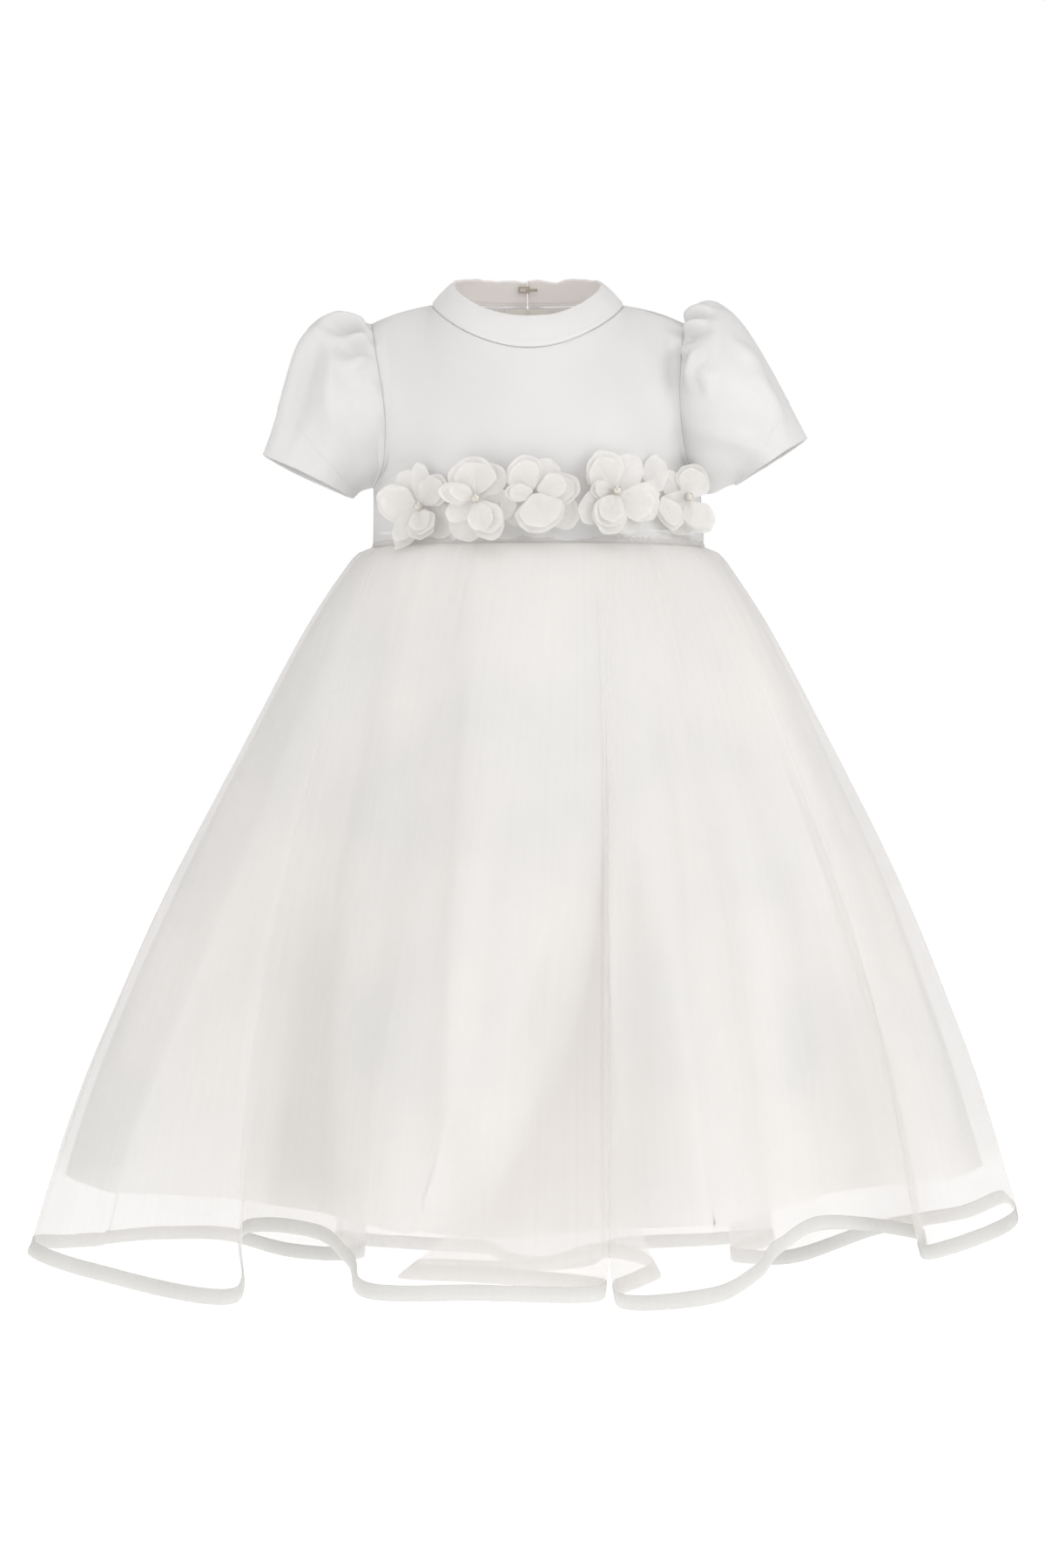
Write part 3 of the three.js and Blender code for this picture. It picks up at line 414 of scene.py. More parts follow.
def hard_material(name, colour, roughness, metallic, coat=0.0):
    """Metal or pearl: a bright smooth body with a faint uneven finish."""
    material, tree = new_material(name)
    scratches = add_node(tree, "TexNoise", Scale=2500.0, Detail=2.0).outputs["Fac"]
    bump = add_node(tree, "Bump", Height=scratches, Strength=0.05, Distance=0.00005)
    dark = tuple(0.86 * part for part in colour)
    return shaded(material, tree, add_node(
        tree, "BsdfPrincipled", Base_Color=cloth_colour(tree, dark, colour, 900.0), Roughness=roughness,
        Metallic=metallic, Coat_Weight=coat, Coat_Roughness=0.08, Normal=bump.outputs["Normal"]))


def paper_material(name):
    """Pale backdrop paper, lit so evenly that it shows white."""
    material, tree = new_material(name)
    colour = cloth_colour(tree, (0.90, 0.90, 0.90), (0.92, 0.92, 0.92), 3.0)
    return shaded(material, tree, add_node(
        tree, "BsdfPrincipled", Base_Color=colour, Roughness=0.9, Emission_Color=(1, 1, 1, 1),
        Emission_Strength=0.5))


WARM = (0.93, 0.86, 0.82)
PALE = (0.92, 0.88, 0.86)
SATIN = satin_material("bodice satin", (0.775, 0.778, 0.775), (0.805, 0.808, 0.805), 0.38, 0.3, PALE)
UNDER_SATIN = satin_material("underskirt satin", (0.775, 0.785, 0.77), (0.875, 0.86, 0.845), 0.32, 0.12, PALE)
# The lining is a pale pink cloth. Its colour is raised above its own to paint light into the shaded inside of
# the dress.
LINING = satin_material("lining", (0.95, 0.91, 0.89), (0.975, 0.935, 0.915), 0.6, 0.5, (0.97, 0.94, 0.92))
TAPE = satin_material("zip tape", (0.80, 0.77, 0.71), (0.84, 0.81, 0.76), 0.7, 0.1, WARM, pitch=0.0009)
ORGANZA = sheer_material("organza", (0.80, 0.775, 0.76), (0.85, 0.825, 0.81), 0.44, 0.008, 0.48)
BINDING = sheer_material("organza binding", (0.78, 0.775, 0.755), (0.84, 0.835, 0.82), 0.86, 0.02, 0.4)
PETALS = sheer_material("petal chiffon", (0.86, 0.845, 0.825), (0.89, 0.875, 0.855), 0.92, 0.03, 0.46)
METAL = hard_material("plated metal", (0.72, 0.66, 0.56), 0.3, 0.95)
PEARL = hard_material("pearl", (0.60, 0.575, 0.51), 0.2, 0.35, coat=1.0)
FLOOR = paper_material("studio floor")


# ---- collar
def collar_edge(edge, turn):
    angle = np.radians(turn)
    dip = ((1 + np.cos(angle)) / 2) ** edge["dip"]
    depth = np.where(np.cos(angle) > 0, edge["front"], edge["back"])
    z = edge["back_z"] + (edge["front_z"] - edge["back_z"]) * dip
    return np.stack([edge["half_width"] * np.sin(angle), -depth * np.cos(angle), z], axis=-1)


def make_collar():
    """Folded band: outer layer, soft rolled top edge and inner layer, drawn in by its base seam."""
    half_opening = math.degrees(COLLAR_OPENING / 2 / COLLAR_TOP["back"])
    turns = np.linspace(-180 + half_opening, 180 - half_opening, 361)
    base, top = collar_edge(COLLAR_BASE, turns), collar_edge(COLLAR_TOP, turns)
    slant = top - base
    base = base + slant * (COLLAR_LIFT / lengths_of(slant))
    up = 1 - np.linspace(0, 1, 26)[:, None]
    points = base + (top - base) * up[..., None]
    round_out = 1.1 * np.sin(np.pi * up) ** 0.7 + 0.5 * hump(up - 0.06, 0.05)
    along = turns[None] * COLLAR_ROUND / 360
    drift = ripples(along, up * COLLAR_HEIGHT, 11, (60, 24), (0.35, 0.14))
    points = points + grid_normals(points) * (round_out + drift * (0.3 + 0.7 * up))[..., None]
    sag = ripples(along, 0 * up, 14, (26, 12), (0.8, 0.4))
    points[..., 2] += sag * up * smooth_step(95, 140, np.abs(turns))
    thickness = COLLAR_WALL * (0.55 + 0.45 * smooth_step(0, 0.12, up) * (1 + 0.12 * (up > 0.93)))
    collar = wall_object("collar_band", lean(points), thickness * np.ones(len(turns)), SATIN)
    # The inner layer takes the lining, whose brightened colour paints light into the shade inside the neck.
    collar.data.materials.append(LINING)
    for face in collar.data.polygons:
        face.material_index = int(face.normal.x * face.center.x + face.normal.y * face.center.y < 0)
    dress_piece(collar, "collar")


# ---- bodice
# Where the neck ends on a panel's way out, and the underarm on its way up.
BODICE_SHARES = {"neck": 0.62, "underarm": 0.24}
HALF_BODICE = 100
BODICE_RISE = 150
LINING_DEPTH = 1.9


def bodice_bottom(facing, across):
    angle = np.radians(90 * across)
    flat = np.full_like(angle, -WAIST["drop"])
    x, y = WAIST["half_width"] * np.sin(angle), facing * WAIST["half_depth"] * np.cos(angle)
    return np.stack([x, y, flat], axis=-1)


def bodice_top(facing, across):
    neck_share = BODICE_SHARES["neck"]
    turn = 90 * np.minimum(across / neck_share, 1)
    neck = collar_edge(COLLAR_BASE, turn if facing < 0 else 180 - turn)
    share = np.clip((across - neck_share) / (1 - neck_share), 0, 1)[..., None]
    arch = 1.5 * np.sin(np.pi * share) * np.array([0, 0, 1.0])
    return neck + (SHOULDER - neck) * share + np.where(share > 0, arch, 0)


def bodice_side(facing, up):
    underarm_share = BODICE_SHARES["underarm"]
    low = np.clip(up / underarm_share, 0, 1)[..., None]
    waist = np.array([WAIST["half_width"], 0, -WAIST["drop"]], float)
    share = np.clip((up - underarm_share) / (1 - underarm_share), 0, 1)
    round_arm = closed_point(ARMHOLE, share / 2 if facing < 0 else 1 - share / 2)
    return np.where((up < underarm_share)[..., None], waist + (UNDERARM - waist) * low, round_arm)


def bodice_points(facing, across, up):
    """Half a bodice panel on the +X side: across from the middle (0) to the side (1), up from waist to top."""
    across, up = np.broadcast_arrays(np.asarray(across, float), np.asarray(up, float))
    a, u = across[..., None], up[..., None]
    zero, one = np.zeros_like(across), np.ones_like(across)
    bottom, low_middle, low_side = (bodice_bottom(facing, place) for place in (across, zero, one))
    top, high_middle, high_side = (bodice_top(facing, place) for place in (across, zero, one))
    middle = low_middle * (1 - u) + high_middle * u
    point = bottom * (1 - u) + top * u + middle * (1 - a) + bodice_side(facing, up) * a
    point -= low_middle * ((1 - a) * (1 - u)) + low_side * (a * (1 - u))
    point -= high_middle * ((1 - a) * u) + high_side * (a * u)
    swell = BODICE_SWELL["front"] if facing < 0 else BODICE_SWELL["back"]
    point[..., 1] += facing * swell * np.sin(np.pi * up) ** 0.9 * (1 - across**2)
    return point


def eased_across(points, share):
    """Takes out hard turns across a panel, keeping its edges."""
    columns = points.shape[1]
    for reach in (columns // 15, columns // 24, columns // 40):
        for _ in range(3):
            before = 2 * points[:, :1] - points[:, reach:0:-1]
            after = 2 * points[:, -1:] - points[:, -2:-reach - 2:-1]
            wide = np.concatenate([before, points, after], axis=1)
            eased = (wide[:, :columns] + 2 * points + wide[:, 2 * reach:]) / 4
            points = points + (eased - points) * share
    return points


def bodice_grid(facing, start, end, columns, rows, top=BODICE_EDGE["top"], bottom=BODICE_EDGE["bottom"]):
    """Panel grid from one place across to another (negative to -X), rows from the top down."""
    across = np.linspace(start, end, columns + 1)[None]
    up = np.linspace(top, bottom, rows + 1)[:, None]
    points = bodice_points(facing, np.abs(across), up)
    points[..., 0] *= np.where(across < 0, -1, 1)
    share = smooth_step(1, 0.8, up) * smooth_step(0, 0.12, up)
    points = eased_across(points, share[..., None])
    upright = np.swapaxes(share * smooth_step(1, 0.9, np.abs(across)), 0, 1)
    return np.swapaxes(eased_across(np.swapaxes(points, 0, 1), upright[..., None]), 0, 1), across, up


def make_bodice():
    side = BODICE_EDGE["side"]
    points, across, up = bodice_grid(-1, -side, side, 150, 84)
    u, v = across * HALF_BODICE, up * BODICE_RISE
    drag = creases(u, v, named_rows("start end width height widen", [
        ((-96, 52), (-48, 60), 5, -0.8, 1.2), ((-97, 40), (-55, 36), 5, 0.6, 1.0),
        ((97, 54), (50, 66), 5, -0.8, 1.2), ((98, 38), (58, 34), 5, 0.6, 1.0),
        ((-60, 118), (-30, 96), 9, -0.5, 0.6), ((58, 118), (34, 98), 9, -0.5, 0.6),
    ]))
    drift = ripples(u, v, 3, (90, 45), (0.45, 0.2), slant=0.8)
    near_waist = smooth_step(0, 0.08, up)
    points = points + grid_normals(points) * ((drag + drift) * near_waist)[..., None]
    front = wall_object("bodice_front_panel", lean(points), SATIN_WALL, SATIN)
    dress_piece(front, "bodice_front")
    middle = SEAM_GAP / WAIST["half_width"]
    for name, start, end, seed in (("left", -middle, -side, 5), ("right", side, middle, 6)):
        points, across, up = bodice_grid(1, start, end, 80, 84)
        u, v = across * HALF_BODICE, up * BODICE_RISE
        distance = np.abs(u)
        zip_lip = 0.9 * hump(distance - 3, 3.2) - 0.5 * hump(distance - 8, 0.9)
        drag = creases(distance, v, named_rows("start end width height widen", [
            ((97, 50), (52, 58), 6, -0.9, 1.2), ((30, 20), (70, 26), 8, -0.7, 0.5),
        ]))
        drift = ripples(u, v, seed, (90, 45), (0.45, 0.2), slant=0.8)
        normals = grid_normals(points)
        outer = points + normals * ((zip_lip + drag + drift) * smooth_step(0, 0.08, up))[..., None]
        panel = wall_object(f"bodice_back_{name}_panel", lean(outer), SATIN_WALL, SATIN)
        dress_piece(panel, f"bodice_back_{name}")
        gathers = ripples(across * 30, v, seed + 20, (11, 6), (0.5, 0.25), slant=0.1)
        gathers = gathers * (0.25 + 0.75 * smooth_step(0.6, 1, up))
        inner = points + normals * (gathers - LINING_DEPTH)[..., None]
        # The lining's brightened colour paints light into the shade behind the back panels.
        lining = sheet_object(f"back_lining_{name}_cloth", lean(inner), LINING)
        dress_piece(lining, f"back_lining_{name}")


make_collar()
make_bodice()


# ---- sleeves
# Gathers at the cap, in degrees round the armhole (0 at the shoulder, positive to the front) and share of
# the way to the cuff. Each is a ridge, or a trough where its height is negative.
SLEEVE_GATHERS = {
    "left": named_rows("start end width height bow", [
        ((12, 0), (6, 0.42), 5, 3.6), ((23, 0), (15, 0.34), 4.2, -8.4),
        ((33, 0), (29, 0.34), 4.4, 5), ((42, 0), (40, 0.16), 3.4, -7.6),
        ((50, 0), (54, 0.3), 4, 3.4), ((58, 0.08), (70, 0.26), 3.6, -4.8),
        ((72, 0), (80, 0.08), 3.2, -3.4), ((-8, 0), (-12, 0.42), 4.5, -3.6),
        ((-22, 0), (-30, 0.46), 5, 3.9), ((-36, 0), (-42, 0.34), 4, -3.9),
        ((-50, 0), (-60, 0.4), 5, 3.4), ((30, 0.46), (24, 1.25), 10, -5.6, 2),
        ((48, 0.5), (52, 1.1), 9, 2.2), ((66, 0.36), (98, 0.7), 9, -5), ((84, 0.7), (70, 1.2), 10, 2.8),
    ]),
    "right": named_rows("start end width height bow", [
        ((6, 0), (8, 0.36), 4.2, 3.6), ((14, 0), (17, 0.24), 3.2, -6.2),
        ((23, 0), (27, 0.32), 3.8, 3.9), ((31, 0), (35, 0.2), 3, -6.2),
        ((39, 0), (45, 0.3), 3.8, 3.6), ((50, 0), (62, 0.15), 3.4, -8.4),
        ((62, 0.14), (78, 0.05), 3.4, -6.4), ((56, 0.06), (76, 0), 3.2, 3.6),
        ((70, 0.2), (74, 0.34), 4.5, -4.2), ((-7, 0), (-10, 0.4), 4.5, -3.6),
        ((-20, 0), (-27, 0.46), 5, 3.9), ((-34, 0), (-40, 0.34), 4, -3.9),
        ((-48, 0), (-58, 0.4), 5, 3.4), ((44, 0.5), (34, 0.72), 7, -3.9),
        ((52, 0.66), (44, 0.9), 7, -3.6), ((84, 0.3), (62, 0.9), 10, 2.5), ((100, 0.3), (92, 1), 9, -3.4),
    ]),
}


def sleeve_points(sleeve, columns, rows):
    turn = np.linspace(-96, 264, columns, endpoint=False)[None]
    t = np.linspace(0, 1, rows)[:, None, None]
    (out_x, out_z), (in_x, in_z) = sleeve["cuff_out"], sleeve["cuff_in"]
    middle = np.array([(out_x + in_x) / 2, 0, (out_z + in_z) / 2])
    across = np.array([out_x, 0, out_z]) - middle
    angle = np.radians(turn)[..., None]
    seam = closed_point(ARMHOLE, np.mod(0.5 - turn / 360, 1)) + np.array([0.35, 0, 0])
    cuff = middle + across * np.cos(angle) - np.array([0, CUFF_HALF_DEPTH, 0]) * np.sin(angle)
    radial = seam - (SHOULDER + UNDERARM) / 2
    radial[..., 0] = 0
    radial = unit(radial)
    length = lengths_of(cuff - seam)
    seam_handle = seam + radial * sleeve["cap_rise"] * length
    seam_handle[..., :1] += sleeve["cap_out"] * length
    cuff_handle = cuff + radial * CUFF_FLARE * length
    cuff_handle[..., :1] += sleeve["cuff_hang"][0] * length
    cuff_handle[..., 2:] += sleeve["cuff_hang"][1] * length
    points = (1 - t)**3 * seam + 3 * (1 - t)**2 * t * seam_handle
    points = points + 3 * (1 - t) * t**2 * cuff_handle + t**3 * cuff
    return points, turn, t[..., 0], radial


def make_sleeve(sleeve):
    points, turn, share, radial = sleeve_points(sleeve, 260, 74)
    centred = np.mod(turn + 180, 360) - 180
    scale = np.array([1, SLEEVE_LENGTH])
    gathers = creases(centred, share * SLEEVE_LENGTH, [
        {**row, "start": row["start"] * scale, "end": row["end"] * scale, "widen": 0.9, "fade": 0.6}
        for row in SLEEVE_GATHERS[sleeve["name"]]
    ])
    around = np.radians(turn)
    across, along = 40 * np.cos(around), 40 * np.sin(around) + 30 * share
    drift = ripples(across, along, sleeve["seed"], (60, 34), (0.7, 0.35), slant=0.6)
    open_share = smooth_step(0, 0.06, share)
    cuff_fold = 0.35 * smooth_step(0.83, 0.85, share) - 0.3 * hump(share - 0.84, 0.008)
    normals = grid_normals(points, True)
    points = points + normals * ((gathers + drift) * open_share + cuff_fold)[..., None]
    past, inward = TUCKS["sleeve"]
    turned = [points[:1] - radial * inward * times - np.array([step, 0, 0])
              for step, times in ((past, 1.6), (0.5, 1))]
    points = np.concatenate([*turned, points])
    points[..., 0] *= sleeve["side"]
    if sleeve["side"] < 0:
        points = points[:, ::-1]
    piece = wall_object(f"sleeve_{sleeve['name']}_cloth", lean(points), SLEEVE_WALL, SATIN, closed=True)
    dress_piece(piece, f"sleeve_{sleeve['name']}")


for each in SLEEVES:
    make_sleeve(each)


# ---- overskirt
def oval_reach(oval, turn):
    angle = np.radians(turn)
    width = np.where(np.sin(angle) < 0, oval["left"], oval["right"])
    depth = np.where(np.cos(angle) > 0, oval["front"], oval["back"])
    return 1 / np.hypot(np.sin(angle) / width, np.cos(angle) / depth)


def from_axis(turn, reach):
    angle = np.radians(turn)
    return np.stack([reach * np.sin(angle), -reach * np.cos(angle), np.zeros_like(angle * reach)], axis=-1)


def fold_columns():
    """The fold table as arrays: three control points a fold."""
    columns = {"waist": [], "hem": [], "rest": [], "reach": [], "drop": [], "deepen": [], "run": []}
    for row in OVERSKIRT_FOLDS:
        full = {"rest": row["hem"], "deepen": FOLD_GROWTH["inward"], "run": FOLD_GROWTH["sideways"], **row}
        for key in ("waist", "hem", "rest"):
            start, end = full[key]
            columns[key] += [start + (end - start) * share for share in (0, 0.5, 1)]
        for key in ("reach", "drop"):
            columns[key] += full[key]
        for key in ("deepen", "run"):
            columns[key] += [full[key]] * 3
    return {key: np.array(values, float) for key, values in columns.items()}


FOLDS = fold_columns()
FOLD_NAMES = [row["fold"] for row in OVERSKIRT_FOLDS]
PLEAT_START, PLEAT_END = 3 * FOLD_NAMES.index("pleat left"), 3 * FOLD_NAMES.index("lobe 3")


def fold_places(down):
    """Control points of the overskirt's folds at shares of the way from waist to hem: (rows, folds, 3)."""
    waist = from_axis(FOLDS["waist"], oval_reach(WAIST_OVAL, FOLDS["waist"]))
    rest = from_axis(FOLDS["rest"], oval_reach(HEM_BASE, FOLDS["rest"]))
    outward = from_axis(FOLDS["rest"], np.ones(len(FOLDS["rest"])))
    folded = from_axis(FOLDS["hem"], FOLDS["reach"]) - rest
    depth = np.sum(folded * outward, axis=-1, keepdims=True)
    sideways = folded - outward * depth
    down = np.asarray(down, float)[:, None, None]
    places = waist + (rest - waist) * look_up(SKIRT_PROFILE, down)
    meeting = look_up(PLEAT_MEETING, down)
    inner = slice(PLEAT_START + 1, PLEAT_END - 1)
    slit = (places[:, PLEAT_START - 1:PLEAT_START] + places[:, PLEAT_END:PLEAT_END + 1]) / 2
    places[:, inner] += (slit - places[:, inner]) * meeting
    places = places + outward * depth * down ** FOLDS["deepen"][None, :, None]
    places = places + sideways * down ** FOLDS["run"][None, :, None]
    apart = places[:, PLEAT_END - 1:PLEAT_END] - places[:, PLEAT_START:PLEAT_START + 1]
    places[:, PLEAT_START - 1:PLEAT_START + 1] += apart * meeting / 2
    places[:, PLEAT_END - 1:PLEAT_END + 1] -= apart * meeting / 2
    drop = WAIST["drop"] + (FOLDS["drop"] - WAIST["drop"]) * down[..., 0]
    return np.concatenate([places[..., :2], -drop[..., None]], axis=-1)


def turn_and_reach(x, y):
    return np.degrees(np.arctan2(x, -y)), np.hypot(x, y)


def overskirt_rings(down, per_span):
    places = fold_places(down)
    corners = [np.roll(places, -step, axis=1)[:, :, None] for step in (-1, 0, 1, 2)]
    shares = (np.arange(per_span) / per_span)[None, None, :, None]
    return centripetal(*corners, shares).reshape(len(places), -1, 3)


SPAN_COLUMNS = 12
OVERSKIRT_ROUND = 2600
SKIRT_LENGTH = FOLDS["drop"][0] - WAIST["drop"]
HEM_SHARE = 1 - BINDING_HEIGHT / SKIRT_LENGTH


def tucked(rings, up, inward):
    """Rings with their seam allowance added above, standing up inside the waist."""
    top = rings[:1].copy()
    top[..., :2] *= 1 - inward / lengths_of(top[..., :2])
    top[..., 2] += up
    return np.concatenate([top, rings])


def overskirt_grid():
    """Points of the whole overskirt, its hem rows included, and how far down each row lies."""
    to_hem = np.linspace(0.1, HEM_SHARE, 84)
    down = np.concatenate([np.linspace(0.001, 0.1, 14)[:-1], to_hem, np.linspace(HEM_SHARE, 1, 7)[1:]])
    rings = overskirt_rings(down, SPAN_COLUMNS)
    across = np.arange(rings.shape[1])[None] / rings.shape[1] * OVERSKIRT_ROUND
    place = down[:, None]
    along = place * SKIRT_LENGTH
    soft = ripples(across, along, 41, (120, 55), (1.8, 0.9), slant=0.12) * smooth_step(0, 0.5, place)
    soft = soft - 1.3 * smooth_step(0, 0.3, place)
    crisp = ripples(across, along, 42, (24, 14), (0.22, 0.1), slant=0.2)
    pull = 0.55 * ripples(across, along, 43, (16, 9), (0.6, 0.3), slant=0.05) * np.exp(-place * 22)
    pull = pull * smooth_step(0, 0.015, place)
    fade = 1 - 0.7 * smooth_step(0.97, 1, place)
    # Columns drawn together in the pleat stay smooth.
    spacing = np.linalg.norm(np.roll(rings, -1, axis=1) - np.roll(rings, 1, axis=1), axis=-1)
    fade = fade * smooth_step(0.1, 0.6, spacing / spacing.mean(axis=1, keepdims=True))
    rings = rings + grid_normals(rings, True) * ((soft + crisp + pull) * fade)[..., None]
    return lean(tucked(rings, *TUCKS["overskirt"])), np.concatenate([[0], down])


RIGHT_SEAM = (FOLD_NAMES.index("lobe 4") * 3 + 2) * SPAN_COLUMNS


def make_overskirt():
    points, down = overskirt_grid()
    hem_row = int(np.argmin(np.abs(down - HEM_SHARE)))
    normals = grid_normals(points, True)
    wrapped, wrapped_normals = (np.concatenate([a, a[:, :1]], axis=1) for a in (points, normals))
    last = wrapped.shape[1] - 1
    for name, start, end, area in (("front", 0, RIGHT_SEAM, 0.43), ("back", RIGHT_SEAM, last, 0.4)):
        band = wrapped[hem_row - 1:, start:end + 1]
        band_normals = wrapped_normals[hem_row - 1:, start:end + 1]
        bulge = 0.55 + 0.45 * np.sin(np.linspace(0, np.pi, len(band)))[:, None] ** 0.5
        thickness = BINDING_WALL * bulge * np.ones(band.shape[1])
        binding = wall_object(f"hem_binding_{name}_cloth", band, thickness, BINDING, normals=band_normals)
        dress_piece(binding, f"hem_binding_{name}")
        skirt = sheet_object(f"overskirt_{name}_cloth", wrapped[:hem_row + 1, start:end + 1], ORGANZA)
        dress_piece(skirt, f"overskirt_{name}")
    return points


OVERSKIRT = make_overskirt()


# ---- underskirt
def overskirt_at(z):
    """Turn and reach of every overskirt column where it crosses a height."""
    heights = OVERSKIRT[..., 2]
    row = np.clip((heights > z).sum(axis=0) - 1, 0, len(heights) - 2)
    columns = np.arange(heights.shape[1])
    low, high = OVERSKIRT[row, columns], OVERSKIRT[row + 1, columns]
    share = np.clip((low[:, 2] - z) / (low[:, 2] - high[:, 2]), 0, 1)[:, None]
    point = low + (high - low) * share
    x = point[:, 0] - look_up(LEAN, z)
    return turn_and_reach(x, point[:, 1])


def underskirt_grid(columns, rows):
    turn = np.linspace(-90, 270, columns, endpoint=False)
    drop = oval_reach(UNDERSKIRT_DROP, turn)
    down = np.concatenate([[0, 0.02], np.linspace(0.05, 1, rows - 2)])
    inset = UNDERSKIRT_FIT["inset"]
    waist = oval_reach(WAIST_OVAL, turn) - inset
    points = np.zeros((rows, columns, 3))
    levels = np.linspace(-WAIST["drop"] - 1, -max(UNDERSKIRT_DROP.values()) - 8, 70)
    rooms = []
    for level in levels:
        fold_turn, fold_reach = overskirt_at(level)
        apart = np.abs(np.mod(fold_turn[None] - turn[:, None] + 180, 360) - 180)
        beyond = np.maximum(0, apart - UNDERSKIRT_FIT["free"])
        rooms.append(np.min(fold_reach[None] + UNDERSKIRT_FIT["yielding"] * beyond**2, axis=1))
    rooms = np.array(rooms)
    for i, share in enumerate(down):
        z = -WAIST["drop"] - 0.15 - (drop - WAIST["drop"]) * share
        spread = look_up(SKIRT_PROFILE, share)
        own = waist + (oval_reach(UNDERSKIRT, turn) - waist) * spread
        level = np.clip((levels[0] - z) / (levels[0] - levels[1]), 0, len(levels) - 1.001)
        low = level.astype(int)
        column = np.arange(columns)
        room = rooms[low, column] + (rooms[low + 1, column] - rooms[low, column]) * (level - low)
        clearance = inset + (UNDERSKIRT_FIT["clearance"] - inset) * min(1, share * 8)
        points[i] = from_axis(turn, np.minimum(own, room - clearance))
        points[i, :, 2] = z
    return points, down


def make_underskirt():
    columns = 480
    points, down = underskirt_grid(columns, 76)
    for _ in range(3):
        eased = (np.roll(points, 1, axis=1) + 2 * points + np.roll(points, -1, axis=1)) / 4
        points[2:] = eased[2:]
    down = down[:, None]
    across = np.arange(columns)[None] / columns * UNDERSKIRT_CLOTH["round"]
    soft = ripples(across, down * UNDERSKIRT_CLOTH["long"], 51, (170, 80), (1.2, 0.5), slant=0.12) * down
    turn = np.linspace(-90, 270, columns, endpoint=False)[None]
    for row in UNDERSKIRT_TROUGHS:
        centre = row["waist"] + (row["hem"] - row["waist"]) * down
        apart = np.mod(turn - centre + 180, 360) - 180
        width = row["width"] * (0.75 + 0.25 * down)
        soft = soft - row["depth"] * smooth_step(row["start"], 0.8, down) * hump(apart, width)
    hem_line = -0.35 * hump(down - 0.945, 0.003)
    points = points + grid_normals(points, True) * (soft - 0.6 * down + hem_line)[..., None]
    points = lean(tucked(points, *TUCKS["underskirt"]))
    wrapped = np.concatenate([points, points[:, :1]], axis=1)
    for name, start, end in (("front", 0, columns // 2), ("back", columns // 2, columns)):
        piece = sheet_object(f"underskirt_{name}_cloth", wrapped[:, start:end + 1], UNDER_SATIN)
        dress_piece(piece, f"underskirt_{name}")


make_underskirt()


# ---- blossoms
# Blossoms: turn and height of the middle, how far it stands off, and where its pearl lies from there.
BLOSSOMS = named_rows("turn z stand pearl", [
    (-45, -119, 2.6, (1, 0)), (-20.5, -115, 6.4, (0, 0)), (-1, -110, 2.6, None),
    (27.5, -111, 5, (-1, 1)), (49, -111, 2.4, None), (62, -114, 6.2, (0, 1)),
])

# Petals: direction round the blossom (0 to the side, 90 up), length and width, lift off the cloth, and how many
# layers lie on each other there.
PETAL_SETS = [named_rows("around length width lift layers", rows) for rows in (
    [(-30, 29, 22, 2, 1), (92, 28, 13, 9, 1), (126, 26, 20, 3, 1), (172, 29, 23, 8, 2), (45, 25, 20, 3, 2),
     (-114, 29, 17, 3, 2), (-70, 23, 20, 12, 3)],
    [(-112, 28, 23, 3, 1), (-14, 25, 20, 3, 1), (56, 25, 20, 3, 1), (104, 26, 30, 7, 2),
     (214, 22, 15, 4, 1), (168, 24, 14, 14, 3), (-60, 30, 22, 14, 3)],
    [(-132, 26, 22, 2, 1), (-38, 33, 22, 2, 1), (58, 22, 19, 5, 1), (120, 23, 24, 7, 2), (4, 28, 21, 3, 2),
     (188, 19, 12, 12, 2), (14, 21, 15, 14, 1), (-78, 27, 31, 9, 2)],
    [(-72, 27, 24, 3, 2), (62, 26, 22, 4, 1), (120, 28, 26, 7, 2), (172, 19, 13, 15, 2),
     (-25, 28, 25, 9, 2), (214, 30, 22, 5, 1), (246, 29, 23, 12, 3)],
    [(-34, 25, 22, 2, 1), (-150, 23, 20, 2, 1), (104, 25, 19, 4, 1), (-74, 24, 18, 8, 2),
     (168, 17, 13, 10, 1)],
    [(-112, 24, 20, 3, 1), (128, 22, 17, 4, 1), (60, 24, 24, 8, 2), (196, 20, 15, 6, 1),
     (-58, 25, 22, 10, 2)],
)]
PEARL_SIZE = {"radius": 3, "off": 6}
# How petals curl: depth of their cup, rise of the curled rim and height of its waves, how far each petal and
# layer stands off the last, how much smaller each further layer is and how far it turns, in degrees.
PETAL_CURL = {"cup": 0.06, "rim": 1.1, "wave": 1.0, "apart": 1.1, "shrink": 0.13, "turn": 8}


def bodice_place(turn, z):
    """Place on the bodice front at a turn and a height, and the directions sideways, up and off the cloth."""
    across = abs(turn) / 90
    ups = np.linspace(0, 1, 400)
    heights = bodice_points(-1, np.full(400, across), ups)[:, 2]
    up = float(np.interp(z, heights, ups))
    step = 0.02
    here, above, beside = bodice_points(-1, across + np.array([0, 0, step]), up + np.array([0, step, 0]))
    mirror = np.array([-1.0 if turn < 0 else 1.0, 1, 1])
    upward, beside = unit((above - here) * mirror), unit((beside - here) * mirror) * mirror[0]
    off = unit(np.cross(beside, upward))
    # A blossom sewn at its middle stands half way between the cloth and straight out to the front.
    off = unit(off + BLOSSOM_TURN * np.array([0, -1.0, 0]))
    sideways = unit(np.cross(upward, off))
    return lean((here * mirror)[None])[0], (sideways, unit(np.cross(off, sideways)), off)


